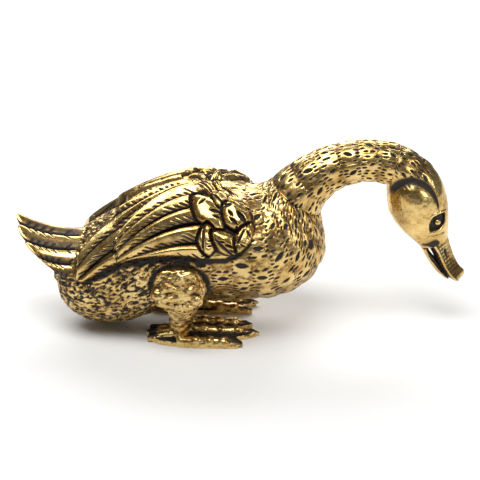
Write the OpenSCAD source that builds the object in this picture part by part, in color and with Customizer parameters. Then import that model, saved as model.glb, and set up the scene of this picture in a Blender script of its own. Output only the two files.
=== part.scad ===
// Brass duck figurine, bowed neck, closed wings, webbed feet.
// X runs from tail to bill, Z is up, the duck's right side is towards -Y, and the soles stand on Z = 0.

/* [Trunk] */
// Length of the trunk from the rump to the breast
trunk_len = 35.5; // [34:0.5:37]
// Width of the trunk under the wings
trunk_w = 18.4; // [17:0.2:19.6]
// Height of the back over the ground
back_h = 19.7; // [19:0.1:20.6]
// Height of the rump's underside over the ground
rump_gap = 0.7; // [0.4:0.1:1.5]
// Height of the belly's underside over the ground
belly_gap = 3.9; // [3.4:0.1:4.4]

/* [Neck] */
// Radius of the arch along the middle of the neck
arch_r = 11.3; // [10.5:0.1:12.5]
// Rise of the neck where it leaves the breast, in degrees
root_angle = 55.5; // [52:0.5:60]
// Fall of the neck where it meets the head, in degrees
tip_angle = 17; // [12:0.5:22]
// Depth of the neck at its root
root_d = 8.1; // [7:0.1:9]
// Width of the neck at its root
root_w = 8.4; // [7:0.1:9]
// Depth of the neck where it meets the head
tip_d = 5.8; // [5:0.1:6.6]
// Width of the neck where it meets the head
tip_w = 5.5; // [4.8:0.1:6.2]

/* [Head] */
// Length of the head from the neck to the bill
head_len = 12.1; // [11:0.1:13]
// Depth of the head from crown to chin
head_d = 7.9; // [7.2:0.1:8.6]
// Width of the head behind the eyes
head_w = 7.0; // [6.4:0.1:7.6]
// Turn of the head below the end of the neck, in degrees
bow_angle = 49; // [44:1:54]
// Length of the cheek along the head
cheek_l = 6.4; // [5.6:0.1:7]
// Height of the cheek across the head
cheek_h = 5.0; // [4.4:0.1:5.6]
// Swell of the cheek over the side of the head
cheek_swell = 0.45; // [0.2:0.05:0.7]
// Length of the eye's socket
socket_l = 2.7; // [2.3:0.1:2.9]
// Height of the eye's socket
socket_h = 1.5; // [1.2:0.1:1.8]
// Depth of the eye's socket
socket_sink = 0.45; // [0.3:0.05:0.6]
// Diameter of the bead that is the eye
bead_d = 0.9; // [0.8:0.05:1.1]

/* [Bill] */
// Length of the upper bill
upper_len = 6.4; // [5.8:0.1:7]
// Length of the lower bill
lower_len = 5.6; // [5:0.1:6]
// Width of the bill
bill_w = 4.4; // [4:0.1:4.8]
// Depth of the upper bill at the face
upper_d = 2.65; // [2.3:0.05:2.8]
// Depth of the lower bill at the face
lower_d = 0.75; // [0.6:0.05:0.8]

/* [Wings] */
// Place of the shoulder's front along the duck
shoulder_x = 1.9; // [1:0.1:2.6]
// Length of a folded wing from the shoulder to the tip
wing_len = 23.4; // [22:0.1:24]
// Thickness of the wing under its feathers
wing_t = 0.8; // [0.6:0.05:1]
// Width of the widest feather
feather_w = 2.6; // [2.2:0.1:2.8]
// Crown of a feather over the wing
feather_crown = 0.8; // [0.5:0.05:1]
// Width of the widest shoulder scallop
scallop_w = 3.5; // [3:0.1:3.7]
// Crown of the tallest shoulder scallop over the trunk
scallop_crown = 2.0; // [1.8:0.05:2.3]

/* [Tail] */
// Reach of the tail behind the rump
tail_reach = 5.0; // [4:0.1:5.6]
// Height of the tail's tip over the ground
tail_h = 15.3; // [14.4:0.1:15.8]
// Width of the fan of tail feathers
tail_w = 9.2; // [8:0.1:10]
// Drop of the fan from its middle to its sides
tail_droop = 4.8; // [4:0.1:5.4]
// Thickness of a tail feather at its tip
tail_t = 1.2; // [1:0.05:1.5]

/* [Legs] */
// Place of the hips along the duck
hip_x = -7.9; // [-9:0.1:-7]
// Height of the hips over the ground
hip_h = 8.9; // [8.5:0.1:9.2]
// Length of the thigh along the duck
thigh_l = 7.3; // [6.4:0.1:7.8]
// Height of the thigh
thigh_h = 6.0; // [5.4:0.1:6.4]
// Thickness of the thigh
thigh_t = 4.6; // [4:0.1:5]
// Distance between the two ankles
ankle_gap = 13.2; // [12.4:0.1:14]
// Diameter of the shank at the ankle
shank_d = 2.7; // [2.4:0.1:3]

/* [Feet] */
// Length of a foot from heel to middle toe
foot_l = 15; // [14:0.1:16]
// Reach of the heel behind the ankle
heel_l = 4.6; // [4:0.1:5]
// Width of a foot across the toes
foot_w = 7.4; // [6.8:0.1:8]
// Distance between the inner sides of the two feet
stance_gap = 3.4; // [2.8:0.1:4]
// Thickness of a toe
toe_t = 1.2; // [1:0.05:1.4]
// Thickness of the web between the toes
web_t = 0.7; // [0.6:0.05:0.9]
// Height of the ankle's seat over the ground
ankle_h = 2.0; // [1.8:0.1:2.2]

/* [Fits] */
// Clearance round each spigot and pin
fit_gap = 0.05; // [0.03:0.01:0.08]
// Diameter of the neck's spigots
spigot_d = 2.6; // [2:0.1:3]
// Length of the neck's spigots
spigot_l = 3; // [2:0.1:3.4]
// Diameter of the pins that hold wings, tail and legs
pin_d = 1.4; // [1:0.1:1.6]
// Length of the pins that hold wings, tail and legs
pin_l = 2.2; // [1.6:0.1:2.4]
// Diameter of the pins that hold the two halves of the bill
bill_pin_d = 0.7; // [0.5:0.05:0.8]
// Length of the pins that hold the two halves of the bill
bill_pin_l = 1.4; // [1:0.1:1.6]

/* [Hidden] */
// Sides of a trunk, neck or head section, and steps between two of their stations
sides = 26;
steps = 2;
// Sides of the round children of a hull
round_fn = 8;
// Sides of a bore or a pin
bore_fn = 32;
// How far a cut runs past the surface it opens
over = 0.4;
brass = "goldenrod";
pale_brass = "khaki";

// The rump's end lies so far behind the origin that the whole duck is centred on it
rump_x = -24.4;

function mix(a, b, t) = a + (b - a) * t;
function bend(a, b, c, t) = a * pow(1 - t, 2) + b * 2 * t * (1 - t) + c * t * t;
function curve(a, b, c, d, t) =
    0.5 * (2 * b + (c - a) * t + (2 * a - 5 * b + 4 * c - d) * t * t + (3 * b - 3 * c + d - a) * pow(t, 3));
// Rows of numbers with smooth rows put between them
function between(rows, n) = let (last = len(rows) - 1) concat(
    [for (i = [0 : last - 1], k = [0 : n - 1])
        curve(rows[max(i - 1, 0)], rows[i], rows[i + 1], rows[min(i + 2, last)], k / n)],
    [rows[last]]);

// A station is [upper x, upper z, lower x, lower z, half width], all on the duck's middle plane
// The ring is widest halfway down, or lower where sag is under 1, or higher where it is over 1
function ring(s, n = sides, sag = 1) = [
    for (k = [0 : n - 1])
        let (a = 360 * k / n, t = pow((1 - cos(a)) / 2, sag))
            [mix(s[0], s[2], t), s[4] * sin(a), mix(s[1], s[3], t)]];

// Closed solid through rings that all have the same number of points
module loft(rings) {
    n = len(rings[0]);
    last = len(rings) - 1;
    polyhedron(
        points = [for (r = rings, p = r) p],
        faces = concat(
            [for (k = [1 : n - 2]) [0, k + 1, k]],
            [for (i = [0 : last - 1], k = [0 : n - 1]) [i * n + k, i * n + (k + 1) % n, (i + 1) * n + k]],
            [for (i = [0 : last - 1], k = [0 : n - 1])
                [i * n + (k + 1) % n, (i + 1) * n + (k + 1) % n, (i + 1) * n + k]],
            [for (k = [1 : n - 2]) [last * n, last * n + k, last * n + k + 1]]));
}

// Turns +Z to run at a rise from +X towards +Z, starting at a point of the middle plane
module along(p, rise) translate([p[0], 0, p[1]]) rotate([0, 90 - rise, 0]) children();

// Places children on the duck's left side from how they are drawn on its right side
module to_left() mirror([0, 1, 0]) children();

// Trunk: shares of its length, height and half width at each station
function at(u) = rump_x + u * trunk_len;
function up(t) = rump_gap + t * (back_h - rump_gap);
function out(f) = f * trunk_w / 2;
neck_root = [at(0.89), up(0.905)];
root_up = [-sin(root_angle), cos(root_angle)];
trunk_rows = [
    [at(0.000), up(0.416), at(0.000), up(0.289), out(0.17)],
    [at(0.023), up(0.537), at(0.023), up(0.158), out(0.48)],
    [at(0.079), up(0.626), at(0.073), up(0.058), out(0.69)],
    [at(0.169), up(0.732), at(0.163), rump_gap, out(0.82)],
    [at(0.293), up(0.858), at(0.265), up(0.011), out(0.91)],
    [at(0.434), up(0.963), at(0.392), mix(rump_gap, belly_gap, 0.6), out(0.98)],
    [at(0.546), up(1.000), at(0.532), belly_gap, out(1.00)],
    [at(0.645), up(0.995), at(0.687), belly_gap + 0.2, out(0.98)],
    [at(0.704), up(0.974), at(0.828), belly_gap + 0.6, out(0.92)],
    [at(0.738), up(0.968), at(0.941), up(0.311), out(0.84)],
    [at(0.758), up(0.974), at(1.000), up(0.489), out(0.72)],
    [at(0.772), up(0.989), at(0.997), up(0.647), out(0.58)],
    concat(neck_root + root_up * root_d / 2, neck_root - root_up * root_d / 2, [root_w / 2])];
trunk_stations = between(trunk_rows, steps);
top_line = [for (s = trunk_stations) [s[0], s[1]]];
belly_line = [for (s = trunk_stations) [s[2], s[3]]];
side_line = [for (s = trunk_stations) [(s[0] + s[2]) / 2, s[4]]];

// Point on the trunk's right side: place along it, degrees down from the back, height over the skin
function skin(x, phi, lift) = let (top = lookup(x, top_line), low = lookup(x, belly_line)) [
    x,
    -(lookup(x, side_line) + lift) * sin(phi),
    (top + low) / 2 + ((top - low) / 2 + lift) * cos(phi)];
// Millimetres along the skin for one degree round it
function skin_mm(x) = lookup(x, side_line) * PI / 180;

module trunk_form() loft([for (s = trunk_stations) ring(s)]);

// Hole for a pin that runs along Y into the trunk, from a point on its right side
module pin_hole(p) translate([p[0], p[1] + pin_l + fit_gap, p[2]]) rotate([90, 0, 0])
    cylinder(h = pin_l + fit_gap + over, d = pin_d + 2 * fit_gap, $fn = bore_fn);
module pin(p) translate([p[0], p[1] + pin_l, p[2]]) rotate([90, 0, 0])
    cylinder(h = pin_l + over, d = pin_d, $fn = bore_fn);

wing_pins = [skin(shoulder_x - 0.16 * wing_len, 55, 0), skin(shoulder_x - 0.6 * wing_len, 50, 0)];
tail_seat = [at(0.07), lookup(at(0.07), top_line)];
tail_pin_angle = 20;
hip = [hip_x, skin(hip_x, 100, 0)[1], hip_h];

module body() color(brass) difference() {
    trunk_form();
    along(neck_root, root_angle + 180) translate([0, 0, -over])
        cylinder(h = spigot_l + fit_gap + over, d = spigot_d + 2 * fit_gap, $fn = bore_fn);
    for (p = concat(wing_pins, [hip])) {
        pin_hole(p);
        to_left() pin_hole(p);
    }
    along(tail_seat, -tail_pin_angle) translate([0, 0, -pin_l])
        cylinder(h = 2 * pin_l + fit_gap, d = pin_d + 2 * fit_gap, $fn = bore_fn);
}

// Neck: an arc of one radius, thickest at its root
function arch_at(t) = let (a = mix(root_angle, -tip_angle, t)) [
    neck_root[0] + arch_r * (sin(root_angle) - sin(a)),
    neck_root[1] + arch_r * (cos(a) - cos(root_angle)), a];
function neck_station(t) = let (c = arch_at(t), d = mix(tip_d, root_d, pow(1 - t, 3)) / 2)
    [c[0] - d * sin(c[2]), c[1] + d * cos(c[2]), c[0] + d * sin(c[2]), c[1] - d * cos(c[2]),
        mix(tip_w, root_w, pow(1 - t, 3)) / 2];
neck_steps = 9;
neck_tip = arch_at(1);

module neck() color(pale_brass) {
    loft([for (k = [0 : neck_steps]) ring(neck_station(k / neck_steps))]);
    along(neck_root, root_angle + 180) translate([0, 0, -spigot_l / 2])
        cylinder(h = 1.5 * spigot_l, d = spigot_d, $fn = bore_fn);
    along(neck_tip, -tip_angle) translate([0, 0, -spigot_l / 2])
        cylinder(h = 1.5 * spigot_l, d = spigot_d, $fn = bore_fn);
}

// Head: places are given along the head's axis and across it, towards the crown
head_angle = -tip_angle - bow_angle;
function face(a, n) = [
    neck_tip[0] + a * cos(head_angle) - n * sin(head_angle),
    neck_tip[1] + a * sin(head_angle) + n * cos(head_angle)];
function head_station(crown_a, crown_n, chin_a, chin_n, half) = concat(
    face(crown_a * head_len, crown_n * head_d),
    face(chin_a * head_len, -chin_n * head_d),
    [half * head_w / 2]);
head_rows = [
    neck_station(1),
    head_station(0.00, 0.436, 0.289, 0.298, 0.84),
    head_station(0.18, 0.572, 0.391, 0.353, 0.95),
    head_station(0.37, 0.625, 0.484, 0.375, 1.00),
    head_station(0.56, 0.604, 0.618, 0.355, 0.97),
    head_station(0.73, 0.531, 0.764, 0.289, 0.87),
    head_station(0.88, 0.440, 0.891, 0.196, 0.74),
    head_station(1.00, 0.358, 1.000, 0.132, 0.62)];
cheek_at = [0.47 * head_len, 0.05 * head_d];
eye_at = [0.73 * head_len, 0.30 * head_d];

// Cheek: swells the side of the head inside an oval and leaves a crease round it
function cheek(p) = let (
    a = (p[0] - neck_tip[0]) * cos(head_angle) + (p[2] - neck_tip[1]) * sin(head_angle),
    n = (p[2] - neck_tip[1]) * cos(head_angle) - (p[0] - neck_tip[0]) * sin(head_angle),
    far = norm([(a - cheek_at[0]) / cheek_l, (n - cheek_at[1]) / cheek_h]) * 2)
    far < 1 ? cheek_swell * cos(90 * far) : far < 1.4 ? -0.4 * cheek_swell * sin(180 * (far - 1) / 0.4) : 0;
// The swell dies away towards the middle plane
cheek_fade = 7;
function head_ring(s) = [
    for (p = ring(s))
        p + [0, sign(p[1]) * cheek(p) * min(1, cheek_fade * abs(p[1]) / head_w), 0]];

eye_face = face(eye_at[0], eye_at[1]);
module eye_place() translate([eye_face[0], -0.40 * head_w, eye_face[1]]) rotate([90, 0, 0]) children();
// Almond socket: where two wide cylinders overlap, slanted back from the bill to the crown
socket_angle = 117;
module socket() {
    reach = (pow(socket_l, 2) / socket_h + socket_h) / 4;
    rotate([0, 0, socket_angle + head_angle]) intersection_for(side = [-1, 1])
        translate([0, side * (reach - socket_h / 2), -socket_sink])
            cylinder(h = socket_sink + head_w / 4, r = reach, $fn = 64);
}
module bead_seat() translate([0, 0, -socket_sink - bead_d])
    cylinder(h = bead_d + socket_sink, d = bead_d + 2 * fit_gap, $fn = bore_fn);
module bill_hole(n) along(face(head_len, n), head_angle + 180) translate([0, 0, -over])
    cylinder(h = bill_pin_l + fit_gap + over, d = bill_pin_d + 2 * fit_gap, $fn = bore_fn);

module head() color(pale_brass) difference() {
    loft([for (s = between(head_rows, steps)) head_ring(s)]);
    along(neck_tip, -tip_angle) translate([0, 0, -over])
        cylinder(h = spigot_l + fit_gap + over, d = spigot_d + 2 * fit_gap, $fn = bore_fn);
    eye_place() socket();
    eye_place() bead_seat();
    to_left() eye_place() socket();
    to_left() eye_place() bead_seat();
    bill_hole(upper_mid);
    bill_hole(lower_mid);
}

module eye() {
    translate([0, 0, -socket_sink - bead_d + fit_gap]) cylinder(h = bead_d, d = bead_d, $fn = bore_fn);
    translate([0, 0, -socket_sink + fit_gap]) sphere(d = bead_d, $fn = bore_fn);
}
module right_eye() color(brass) eye_place() eye();
module left_eye() color(brass) to_left() eye_place() eye();

// Bill: both halves start on the flat front of the head, and the mouth is open between them
seat_top = 0.358 * head_d;
seat_low = -0.132 * head_d;
upper_mid = seat_top - upper_d / 2;
lower_mid = seat_low + lower_d / 2;
function bill_station(a, top, low, half) =
    concat(face(head_len + a, top), face(head_len + a, low), [half * bill_w / 2]);
upper_rows = [
    bill_station(0, seat_top, seat_top - upper_d, 0.90),
    bill_station(0.22 * upper_len, seat_top - 0.08 * upper_d, seat_top - 0.90 * upper_d, 0.92),
    bill_station(0.50 * upper_len, seat_top - 0.10 * upper_d, seat_top - 0.86 * upper_d, 0.96),
    bill_station(0.75 * upper_len, seat_top - 0.04 * upper_d, seat_top - 0.74 * upper_d, 1.00),
    bill_station(0.92 * upper_len, seat_top + 0.08 * upper_d, seat_top - 0.56 * upper_d, 0.86),
    bill_station(1.00 * upper_len, seat_top - 0.02 * upper_d, seat_top - 0.36 * upper_d, 0.42)];
lower_rows = [
    bill_station(0, seat_low + lower_d, seat_low, 0.82),
    bill_station(0.27 * lower_len, seat_low + 1.00 * lower_d, seat_low + 0.14 * lower_d, 0.84),
    bill_station(0.46 * lower_len, seat_low + 1.36 * lower_d, seat_low + 0.32 * lower_d, 0.85),
    bill_station(0.68 * lower_len, seat_low + 1.78 * lower_d, seat_low + 0.76 * lower_d, 0.84),
    bill_station(0.86 * lower_len, seat_low + 2.24 * lower_d, seat_low + 1.32 * lower_d, 0.70),
    bill_station(1.00 * lower_len, seat_low + 2.44 * lower_d, seat_low + 1.92 * lower_d, 0.36)];
module bill_half(rows, mid, sag) {
    loft([for (s = between(rows, steps)) ring(s, 16, sag)]);
    along(face(head_len, mid), head_angle + 180) translate([0, 0, -bill_pin_l / 2])
        cylinder(h = 1.5 * bill_pin_l, d = bill_pin_d, $fn = bore_fn);
}
module upper_bill() color(brass) bill_half(upper_rows, upper_mid, 0.4);
module lower_bill() color(brass) bill_half(lower_rows, lower_mid, 2);

// Wing: places are shares of its length behind the shoulder, and degrees down from the back
function behind(f) = shoulder_x - f * wing_len;
// Each row of the edge is [place, upper edge, lower edge]
wing_edge = [
    [0.00, 46, 54], [0.03, 33, 68], [0.08, 22, 77], [0.165, 8, 84], [0.27, 4, 85], [0.40, 3, 79],
    [0.52, 3, 75], [0.62, 3, 71], [0.71, 5, 68], [0.80, 18, 69], [0.885, 27, 74], [0.95, 34, 79],
    [1.00, 52, 76]];
pad_cols = 5;
pad_sink = 0.6;
module wing_pad(t = wing_t) loft([for (e = wing_edge) let (x = behind(e[0])) concat(
    [for (k = [0 : pad_cols]) skin(x, mix(e[1], e[2], k / pad_cols), t * (k % pad_cols == 0 ? 0.5 : 1))],
    [for (k = [pad_cols : -1 : 0]) skin(x, mix(e[1], e[2], k / pad_cols), -pad_sink)])]);

// A feather is [root place, degrees, middle place, degrees, tip place, degrees, root width, tip width],
// with the widths as shares of the widest feather
flight = [
    [0.30, 9, 0.55, 9, 0.80, 14, 0.77, 0.50],
    [0.33, 20, 0.59, 20, 0.755, 46, 0.77, 0.42],
    [0.33, 32, 0.59, 33, 0.755, 53, 0.77, 0.42],
    [0.33, 45, 0.59, 46, 0.745, 60, 0.85, 0.46],
    [0.30, 61, 0.57, 59, 0.735, 66, 0.96, 0.50],
    [0.29, 77, 0.55, 71, 0.730, 70, 0.92, 0.46]];
primaries = [
    [0.46, 14, 0.80, 15, 0.975, 38, 0.85, 0.46],
    [0.63, 25, 0.93, 27, 1.005, 62, 1.00, 0.46],
    [0.70, 43, 0.90, 46, 1.000, 73, 1.00, 0.46],
    [0.70, 64, 0.86, 62, 0.965, 79, 0.92, 0.50]];
// Height of a feather across its width: a raised shaft near its upper edge, then a slope to the lower one
vane = [[-1, 0.3], [-0.5, 1], [0.4, 0.7], [1, 0.1]];
feather_steps = 5;
// Where a feather starts to round off, as a share of its length
round_off = 0.85;
function feather_ring(f, t, base) = let (
    x = behind(bend(f[0], f[2], f[4], t)),
    phi = bend(f[1], f[3], f[5], t),
    dx = -2 * wing_len * mix(f[2] - f[0], f[4] - f[2], t),
    dphi = 2 * mix(f[3] - f[1], f[5] - f[3], t) * skin_mm(x),
    rounding = t > round_off ? sqrt(1 - pow((t - round_off) / (1.01 - round_off), 2)) : 1,
    w = feather_w * mix(f[6], f[7], t) / 2 * rounding,
    side = [dphi, -dx / skin_mm(x)] / norm([dx, dphi]) * w)
    concat(
        [for (v = vane) skin(x + v[0] * side[0], phi + v[0] * side[1], base + feather_crown * v[1])],
        [for (v = [1, -1]) skin(x + v * side[0], phi + v * side[1], -pad_sink)]);
module feather(f, base) loft([for (k = [0 : feather_steps]) feather_ring(f, k / feather_steps, base)]);

// Shoulder scallops: place, degrees of the two ends, share of the greatest width, share of the tallest crown
scallops = [
    [0.27, 28, 48, 1.00, 1.00], [0.11, 38, 58, 0.91, 0.84], [0.25, 60, 70, 0.68, 0.95],
    [0.18, 65, 77, 0.66, 0.95], [0.10, 66, 76, 0.69, 0.90], [0.18, 18, 29, 0.66, 0.78],
    [0.30, 8, 17, 0.60, 0.70], [0.23, 7, 15, 0.57, 0.66], [0.15, 11, 18, 0.54, 0.62],
    [0.08, 23, 32, 0.51, 0.64]];
// Each is a leaf of three balls: [place between its ends, share of its width, share of its crown]
leaf_balls = [[0, 0.6, 0.8], [0.5, 1, 1], [1, 0.6, 0.8]];
module scallop(s) hull() for (leaf = leaf_balls) let (d = scallop_w * s[3] * leaf[1])
    translate(skin(behind(s[0]), mix(s[1], s[2], leaf[0]), scallop_crown * s[4] * leaf[2] - d / 2))
        sphere(d = d, $fn = round_fn);

// Room that the tail leaves for the wing's tip
module wing_room() {
    wing_pad(feather_w);
    for (f = primaries) feather(f, 0.6 * wing_t);
}
module wing() {
    difference() {
        union() {
            wing_pad();
            for (f = primaries) feather(f, 0.6 * wing_t);
            for (f = flight) feather(f, wing_t);
            for (s = scallops) scallop(s);
        }
        trunk_form();
        translate([rump_x, 0, 0]) cube([trunk_len, trunk_w, 2 * back_h]);
    }
    for (p = wing_pins) pin(p);
}
module right_wing() color(pale_brass) wing();
module left_wing() color(pale_brass) to_left() wing();

// Tail: seven feathers that fan from the rump, each bent up a little at its middle and lying against the next
tail_half = 3;
fan_angle = 24.5;
root_fan_angle = 19;
// Lean of the outermost feather; those nearer the middle lean less
side_lean = 58;
function tilt(i) = side_lean * pow(i / tail_half, 0.45);
tail_x = at(0.09);
tail_dip = 0.6 * tail_t;
function tail_root(i) = skin(tail_x, i * root_fan_angle, (0.6 - 0.25 * i) * tail_t);
function tail_tip(i) = [
    rump_x - tail_reach * cos(i * fan_angle),
    -tail_w / 2 * sin(i * fan_angle) / sin(tail_half * fan_angle),
    tail_h - tail_droop * i / tail_half];
function tail_bend(i) = mix(tail_root(i), tail_tip(i), 0.55) - [0, 0, tail_dip];
// End of a feather, whose width is a share of the fan's
module vane_end(i, p, w) translate(p) rotate([tilt(i), 0, 0]) scale([1, w * tail_w / tail_t, 1])
    sphere(d = tail_t, $fn = round_fn);
module tail_feather(i) {
    hull() {
        vane_end(i, tail_root(i) + [tail_t, 0, -tail_dip], 0.28);
        vane_end(i, tail_bend(i), 0.33);
    }
    hull() {
        vane_end(i, tail_bend(i), 0.33);
        vane_end(i, tail_tip(i), 0.25);
    }
}
// Web: the sheet between a feather and the next, up to their tips
module web_ball(p) translate(p) sphere(d = 0.7 * tail_t, $fn = 6);
module tail_web(i) {
    hull() for (k = [i, i + 1], p = [tail_root(k) - [0, 0, tail_dip], tail_bend(k)]) web_ball(p);
    hull() for (k = [i, i + 1], p = [tail_bend(k), tail_tip(k)]) web_ball(p);
}
// Core: what the feathers lie on, between the rump and the fan's tip
module tail_core() hull() {
    for (i = [0 : tail_half]) translate(mix(tail_bend(i), tail_root(i), 0.2) - [0, 0, tail_dip / 2]) {
        sphere(d = tail_t, $fn = round_fn);
        translate([2 * tail_t, tail_t / 2, -tail_t / 2]) sphere(d = tail_t, $fn = round_fn);
    }
    translate(mix(tail_tip(0), tail_bend(0), 0.35) - [0, 0, tail_dip / 2])
        sphere(d = 0.6 * tail_t, $fn = round_fn);
}
module tail() color(pale_brass) {
    difference() {
        union() {
            for (i = [0 : tail_half]) {
                tail_feather(i);
                to_left() tail_feather(i);
            }
            for (i = [0 : tail_half - 1]) {
                tail_web(i);
                to_left() tail_web(i);
            }
            hull() {
                tail_core();
                to_left() tail_core();
            }
        }
        trunk_form();
        wing_room();
        to_left() wing_room();
    }
    along(tail_seat, -tail_pin_angle) translate([0, 0, -pin_l / 2])
        cylinder(h = 1.5 * pin_l, d = pin_d, $fn = bore_fn);
}

// Leg: a thigh with a tufted hem on the trunk's side and a shank down to the ankle
ankle = [hip_x, -ankle_gap / 2, ankle_h];
tufts = 6;
// Where the hem's first and last tuft sit round the thigh, in degrees
hem_ends = [195, 320];
function thigh_point(a, f, y) = hip + [f * thigh_l / 2 * cos(a), y, f * thigh_h / 2 * sin(a)];
module ball(p, d) translate(p) sphere(d = d, $fn = round_fn);
module shank_ball(t, d) ball(mix(hip + [0.07 * thigh_l, 0.05 * thigh_t, -0.36 * thigh_h], ankle, t), d);
module leg() {
    difference() {
        union() {
            hull() {
                translate(hip) scale([thigh_l, 1.1 * thigh_t, thigh_h]) sphere(d = 0.98, $fn = 18);
                shank_ball(0.3, 1.45 * shank_d);
            }
            for (k = [0 : tufts - 1]) let (a = mix(hem_ends[0], hem_ends[1], k / (tufts - 1))) hull() {
                ball(thigh_point(a, 0.40, -0.34 * thigh_t), 0.30 * thigh_h);
                ball(thigh_point(a, 0.78, -0.24 * thigh_t), 0.36 * thigh_h);
            }
            hull() {
                shank_ball(0.3, 1.45 * shank_d);
                translate(ankle) cylinder(h = over, d = shank_d, $fn = 16);
            }
        }
        trunk_form();
        translate([hip_x - thigh_l, -2 * trunk_w, -ankle_h]) cube([2 * thigh_l, 2 * trunk_w, 2 * ankle_h]);
    }
    pin(hip);
    translate(ankle - [0, 0, ankle_h - web_t]) cylinder(h = ankle_h, d = pin_d, $fn = bore_fn);
}
module right_leg() color(brass) leg();
module left_leg() color(brass) to_left() leg();

// Foot: places are shares of its length from the heel and of its width from the inner side
inner_y = -stance_gap / 2;
function sole(u, v) = [ankle[0] - heel_l + u * foot_l, inner_y - v * foot_w];
toe_roots = [sole(0.32, 0.84), sole(0.35, 0.46), sole(0.38, 0.14)];
toe_tips = [sole(0.81, 0.92), sole(0.96, 0.44), sole(0.90, 0.08)];
// Rise of each toe's root as a share of its thickness, from the outer toe to the inner one
toe_arch = [0.1, 0.4, 0.6];
sole_edge = [
    sole(0.00, 0.42), sole(0.02, 0.68), sole(0.12, 0.82), sole(0.35, 0.95), sole(0.80, 1.00),
    sole(0.86, 0.88), sole(0.79, 0.68), sole(0.94, 0.53), sole(1.00, 0.44), sole(0.94, 0.35),
    sole(0.83, 0.24), sole(0.95, 0.10), sole(0.91, 0.00), sole(0.55, 0.00), sole(0.28, 0.03),
    sole(0.03, 0.16)];
claw_ends = [sole(0.04, 0.66), sole(0.03, 0.42), sole(0.05, 0.20)];
knuckles = 2;
// Web: its outer corners and its notches are rounded alike
edge_r = 0.5;
module web_outline() offset(r = -edge_r, $fn = 12) offset(r = 2 * edge_r, $fn = 12)
    offset(delta = -edge_r) polygon(sole_edge);
function toe_mid(i, t) = concat(mix(toe_roots[i], toe_tips[i], t), [toe_t * (0.5 + (1 - t) * toe_arch[i])]);
// A ball and what fills the space between it and the ground
module post(p, d) {
    ball(p, d);
    ball([p[0], p[1], d / 2], d);
}
// A ridge between two posts, each given as [middle, diameter]
module ridge(ends) hull() for (e = ends) post(e[0], e[1]);
module toe(i) {
    for (k = [0 : knuckles - 1])
        ridge([[toe_mid(i, k / knuckles), 1.15 * toe_t], [toe_mid(i, (k + 0.85) / knuckles), 0.95 * toe_t]]);
    ridge([[toe_mid(i, 0.95), 0.7 * toe_t], [toe_mid(i, 1.06), 0.3 * toe_t]]);
}
module foot() difference() {
    union() {
        for (i = [0 : 2]) toe(i);
        linear_extrude(height = web_t) web_outline();
        hull() {
            translate([ankle[0], ankle[1], over]) cylinder(h = ankle_h - over, d = 1.1 * shank_d, $fn = 16);
            for (i = [0 : 2]) post(toe_mid(i, 0), toe_t);
            for (c = claw_ends)
                post([mix(c[0], ankle[0], 0.4), mix(c[1], ankle[1], 0.3), web_t], 0.8 * toe_t);
        }
        for (c = claw_ends) ridge([
            [[ankle[0] - 0.8 * toe_t, mix(ankle[1], c[1], 0.6), 0.9 * toe_t], toe_t],
            [concat(c, [0.4 * toe_t]), 0.75 * toe_t]]);
    }
    translate([-trunk_len, -trunk_w, -2 * toe_t]) cube([2 * trunk_len, trunk_w, 2 * toe_t]);
    translate([ankle[0] - shank_d, ankle[1] - shank_d, ankle_h]) cube(2 * shank_d);
    translate(ankle - [0, 0, ankle_h - web_t + fit_gap])
        cylinder(h = ankle_h, d = pin_d + 2 * fit_gap, $fn = bore_fn);
}
module right_foot() color(brass) foot();
module left_foot() color(brass) to_left() foot();

body();
neck();
head();
upper_bill();
lower_bill();
right_eye();
left_eye();
right_wing();
left_wing();
tail();
right_leg();
left_leg();
right_foot();
left_foot();
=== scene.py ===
import math

import bmesh
import bpy
import numpy as np
from mathutils import Matrix, Vector


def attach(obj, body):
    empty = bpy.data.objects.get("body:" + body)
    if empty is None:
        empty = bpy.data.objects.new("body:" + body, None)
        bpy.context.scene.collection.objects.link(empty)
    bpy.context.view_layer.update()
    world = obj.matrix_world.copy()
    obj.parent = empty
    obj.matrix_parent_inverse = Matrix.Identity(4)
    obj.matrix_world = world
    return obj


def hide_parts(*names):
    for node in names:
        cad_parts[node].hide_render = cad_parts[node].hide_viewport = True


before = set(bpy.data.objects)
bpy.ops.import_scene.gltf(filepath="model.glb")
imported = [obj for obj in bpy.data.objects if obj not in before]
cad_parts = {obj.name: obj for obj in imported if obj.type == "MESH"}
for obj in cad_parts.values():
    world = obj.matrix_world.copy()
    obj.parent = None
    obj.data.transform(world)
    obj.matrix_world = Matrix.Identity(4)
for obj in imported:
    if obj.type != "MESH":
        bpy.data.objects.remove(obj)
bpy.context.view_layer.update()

# Shapes are drawn in millimetres, in the row frame, and turned to metres when a piece is finished


def mix(a, b, t):
    return a + (b - a) * t


def smooth(low, high, value):
    t = np.clip((value - low) / (high - low), 0, 1)
    return t * t * (3 - 2 * t)


def cosd(angle):
    return np.cos(np.radians(angle))


def sind(angle):
    return np.sin(np.radians(angle))


def scattered(value):
    # Shares from 0 to 1 that jump about from one value to the next, the same in each run
    return np.modf(np.abs(np.sin(value)) * 43758.5453)[0]


def curved(rows, count):
    # A smooth curve through rows of numbers, cut into evenly spaced rows
    rows = np.array(rows, float)
    last = len(rows) - 1
    fine = []
    for i in range(last):
        a, b, c, d = rows[max(i - 1, 0)], rows[i], rows[i + 1], rows[min(i + 2, last)]
        for t in np.arange(24) / 24:
            fine.append(0.5 * (2 * b + (c - a) * t + (2 * a - 5 * b + 4 * c - d) * t ** 2
                               + (3 * b - 3 * c + d - a) * t ** 3))
    fine = np.array([*fine, rows[last]])
    steps = np.linalg.norm(np.diff(fine, axis=0), axis=1)
    reach = np.concatenate([[0], np.cumsum(steps)])
    wanted = np.linspace(0, reach[-1], count)
    return np.stack([np.interp(wanted, reach, column) for column in fine.T], axis=1)


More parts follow.
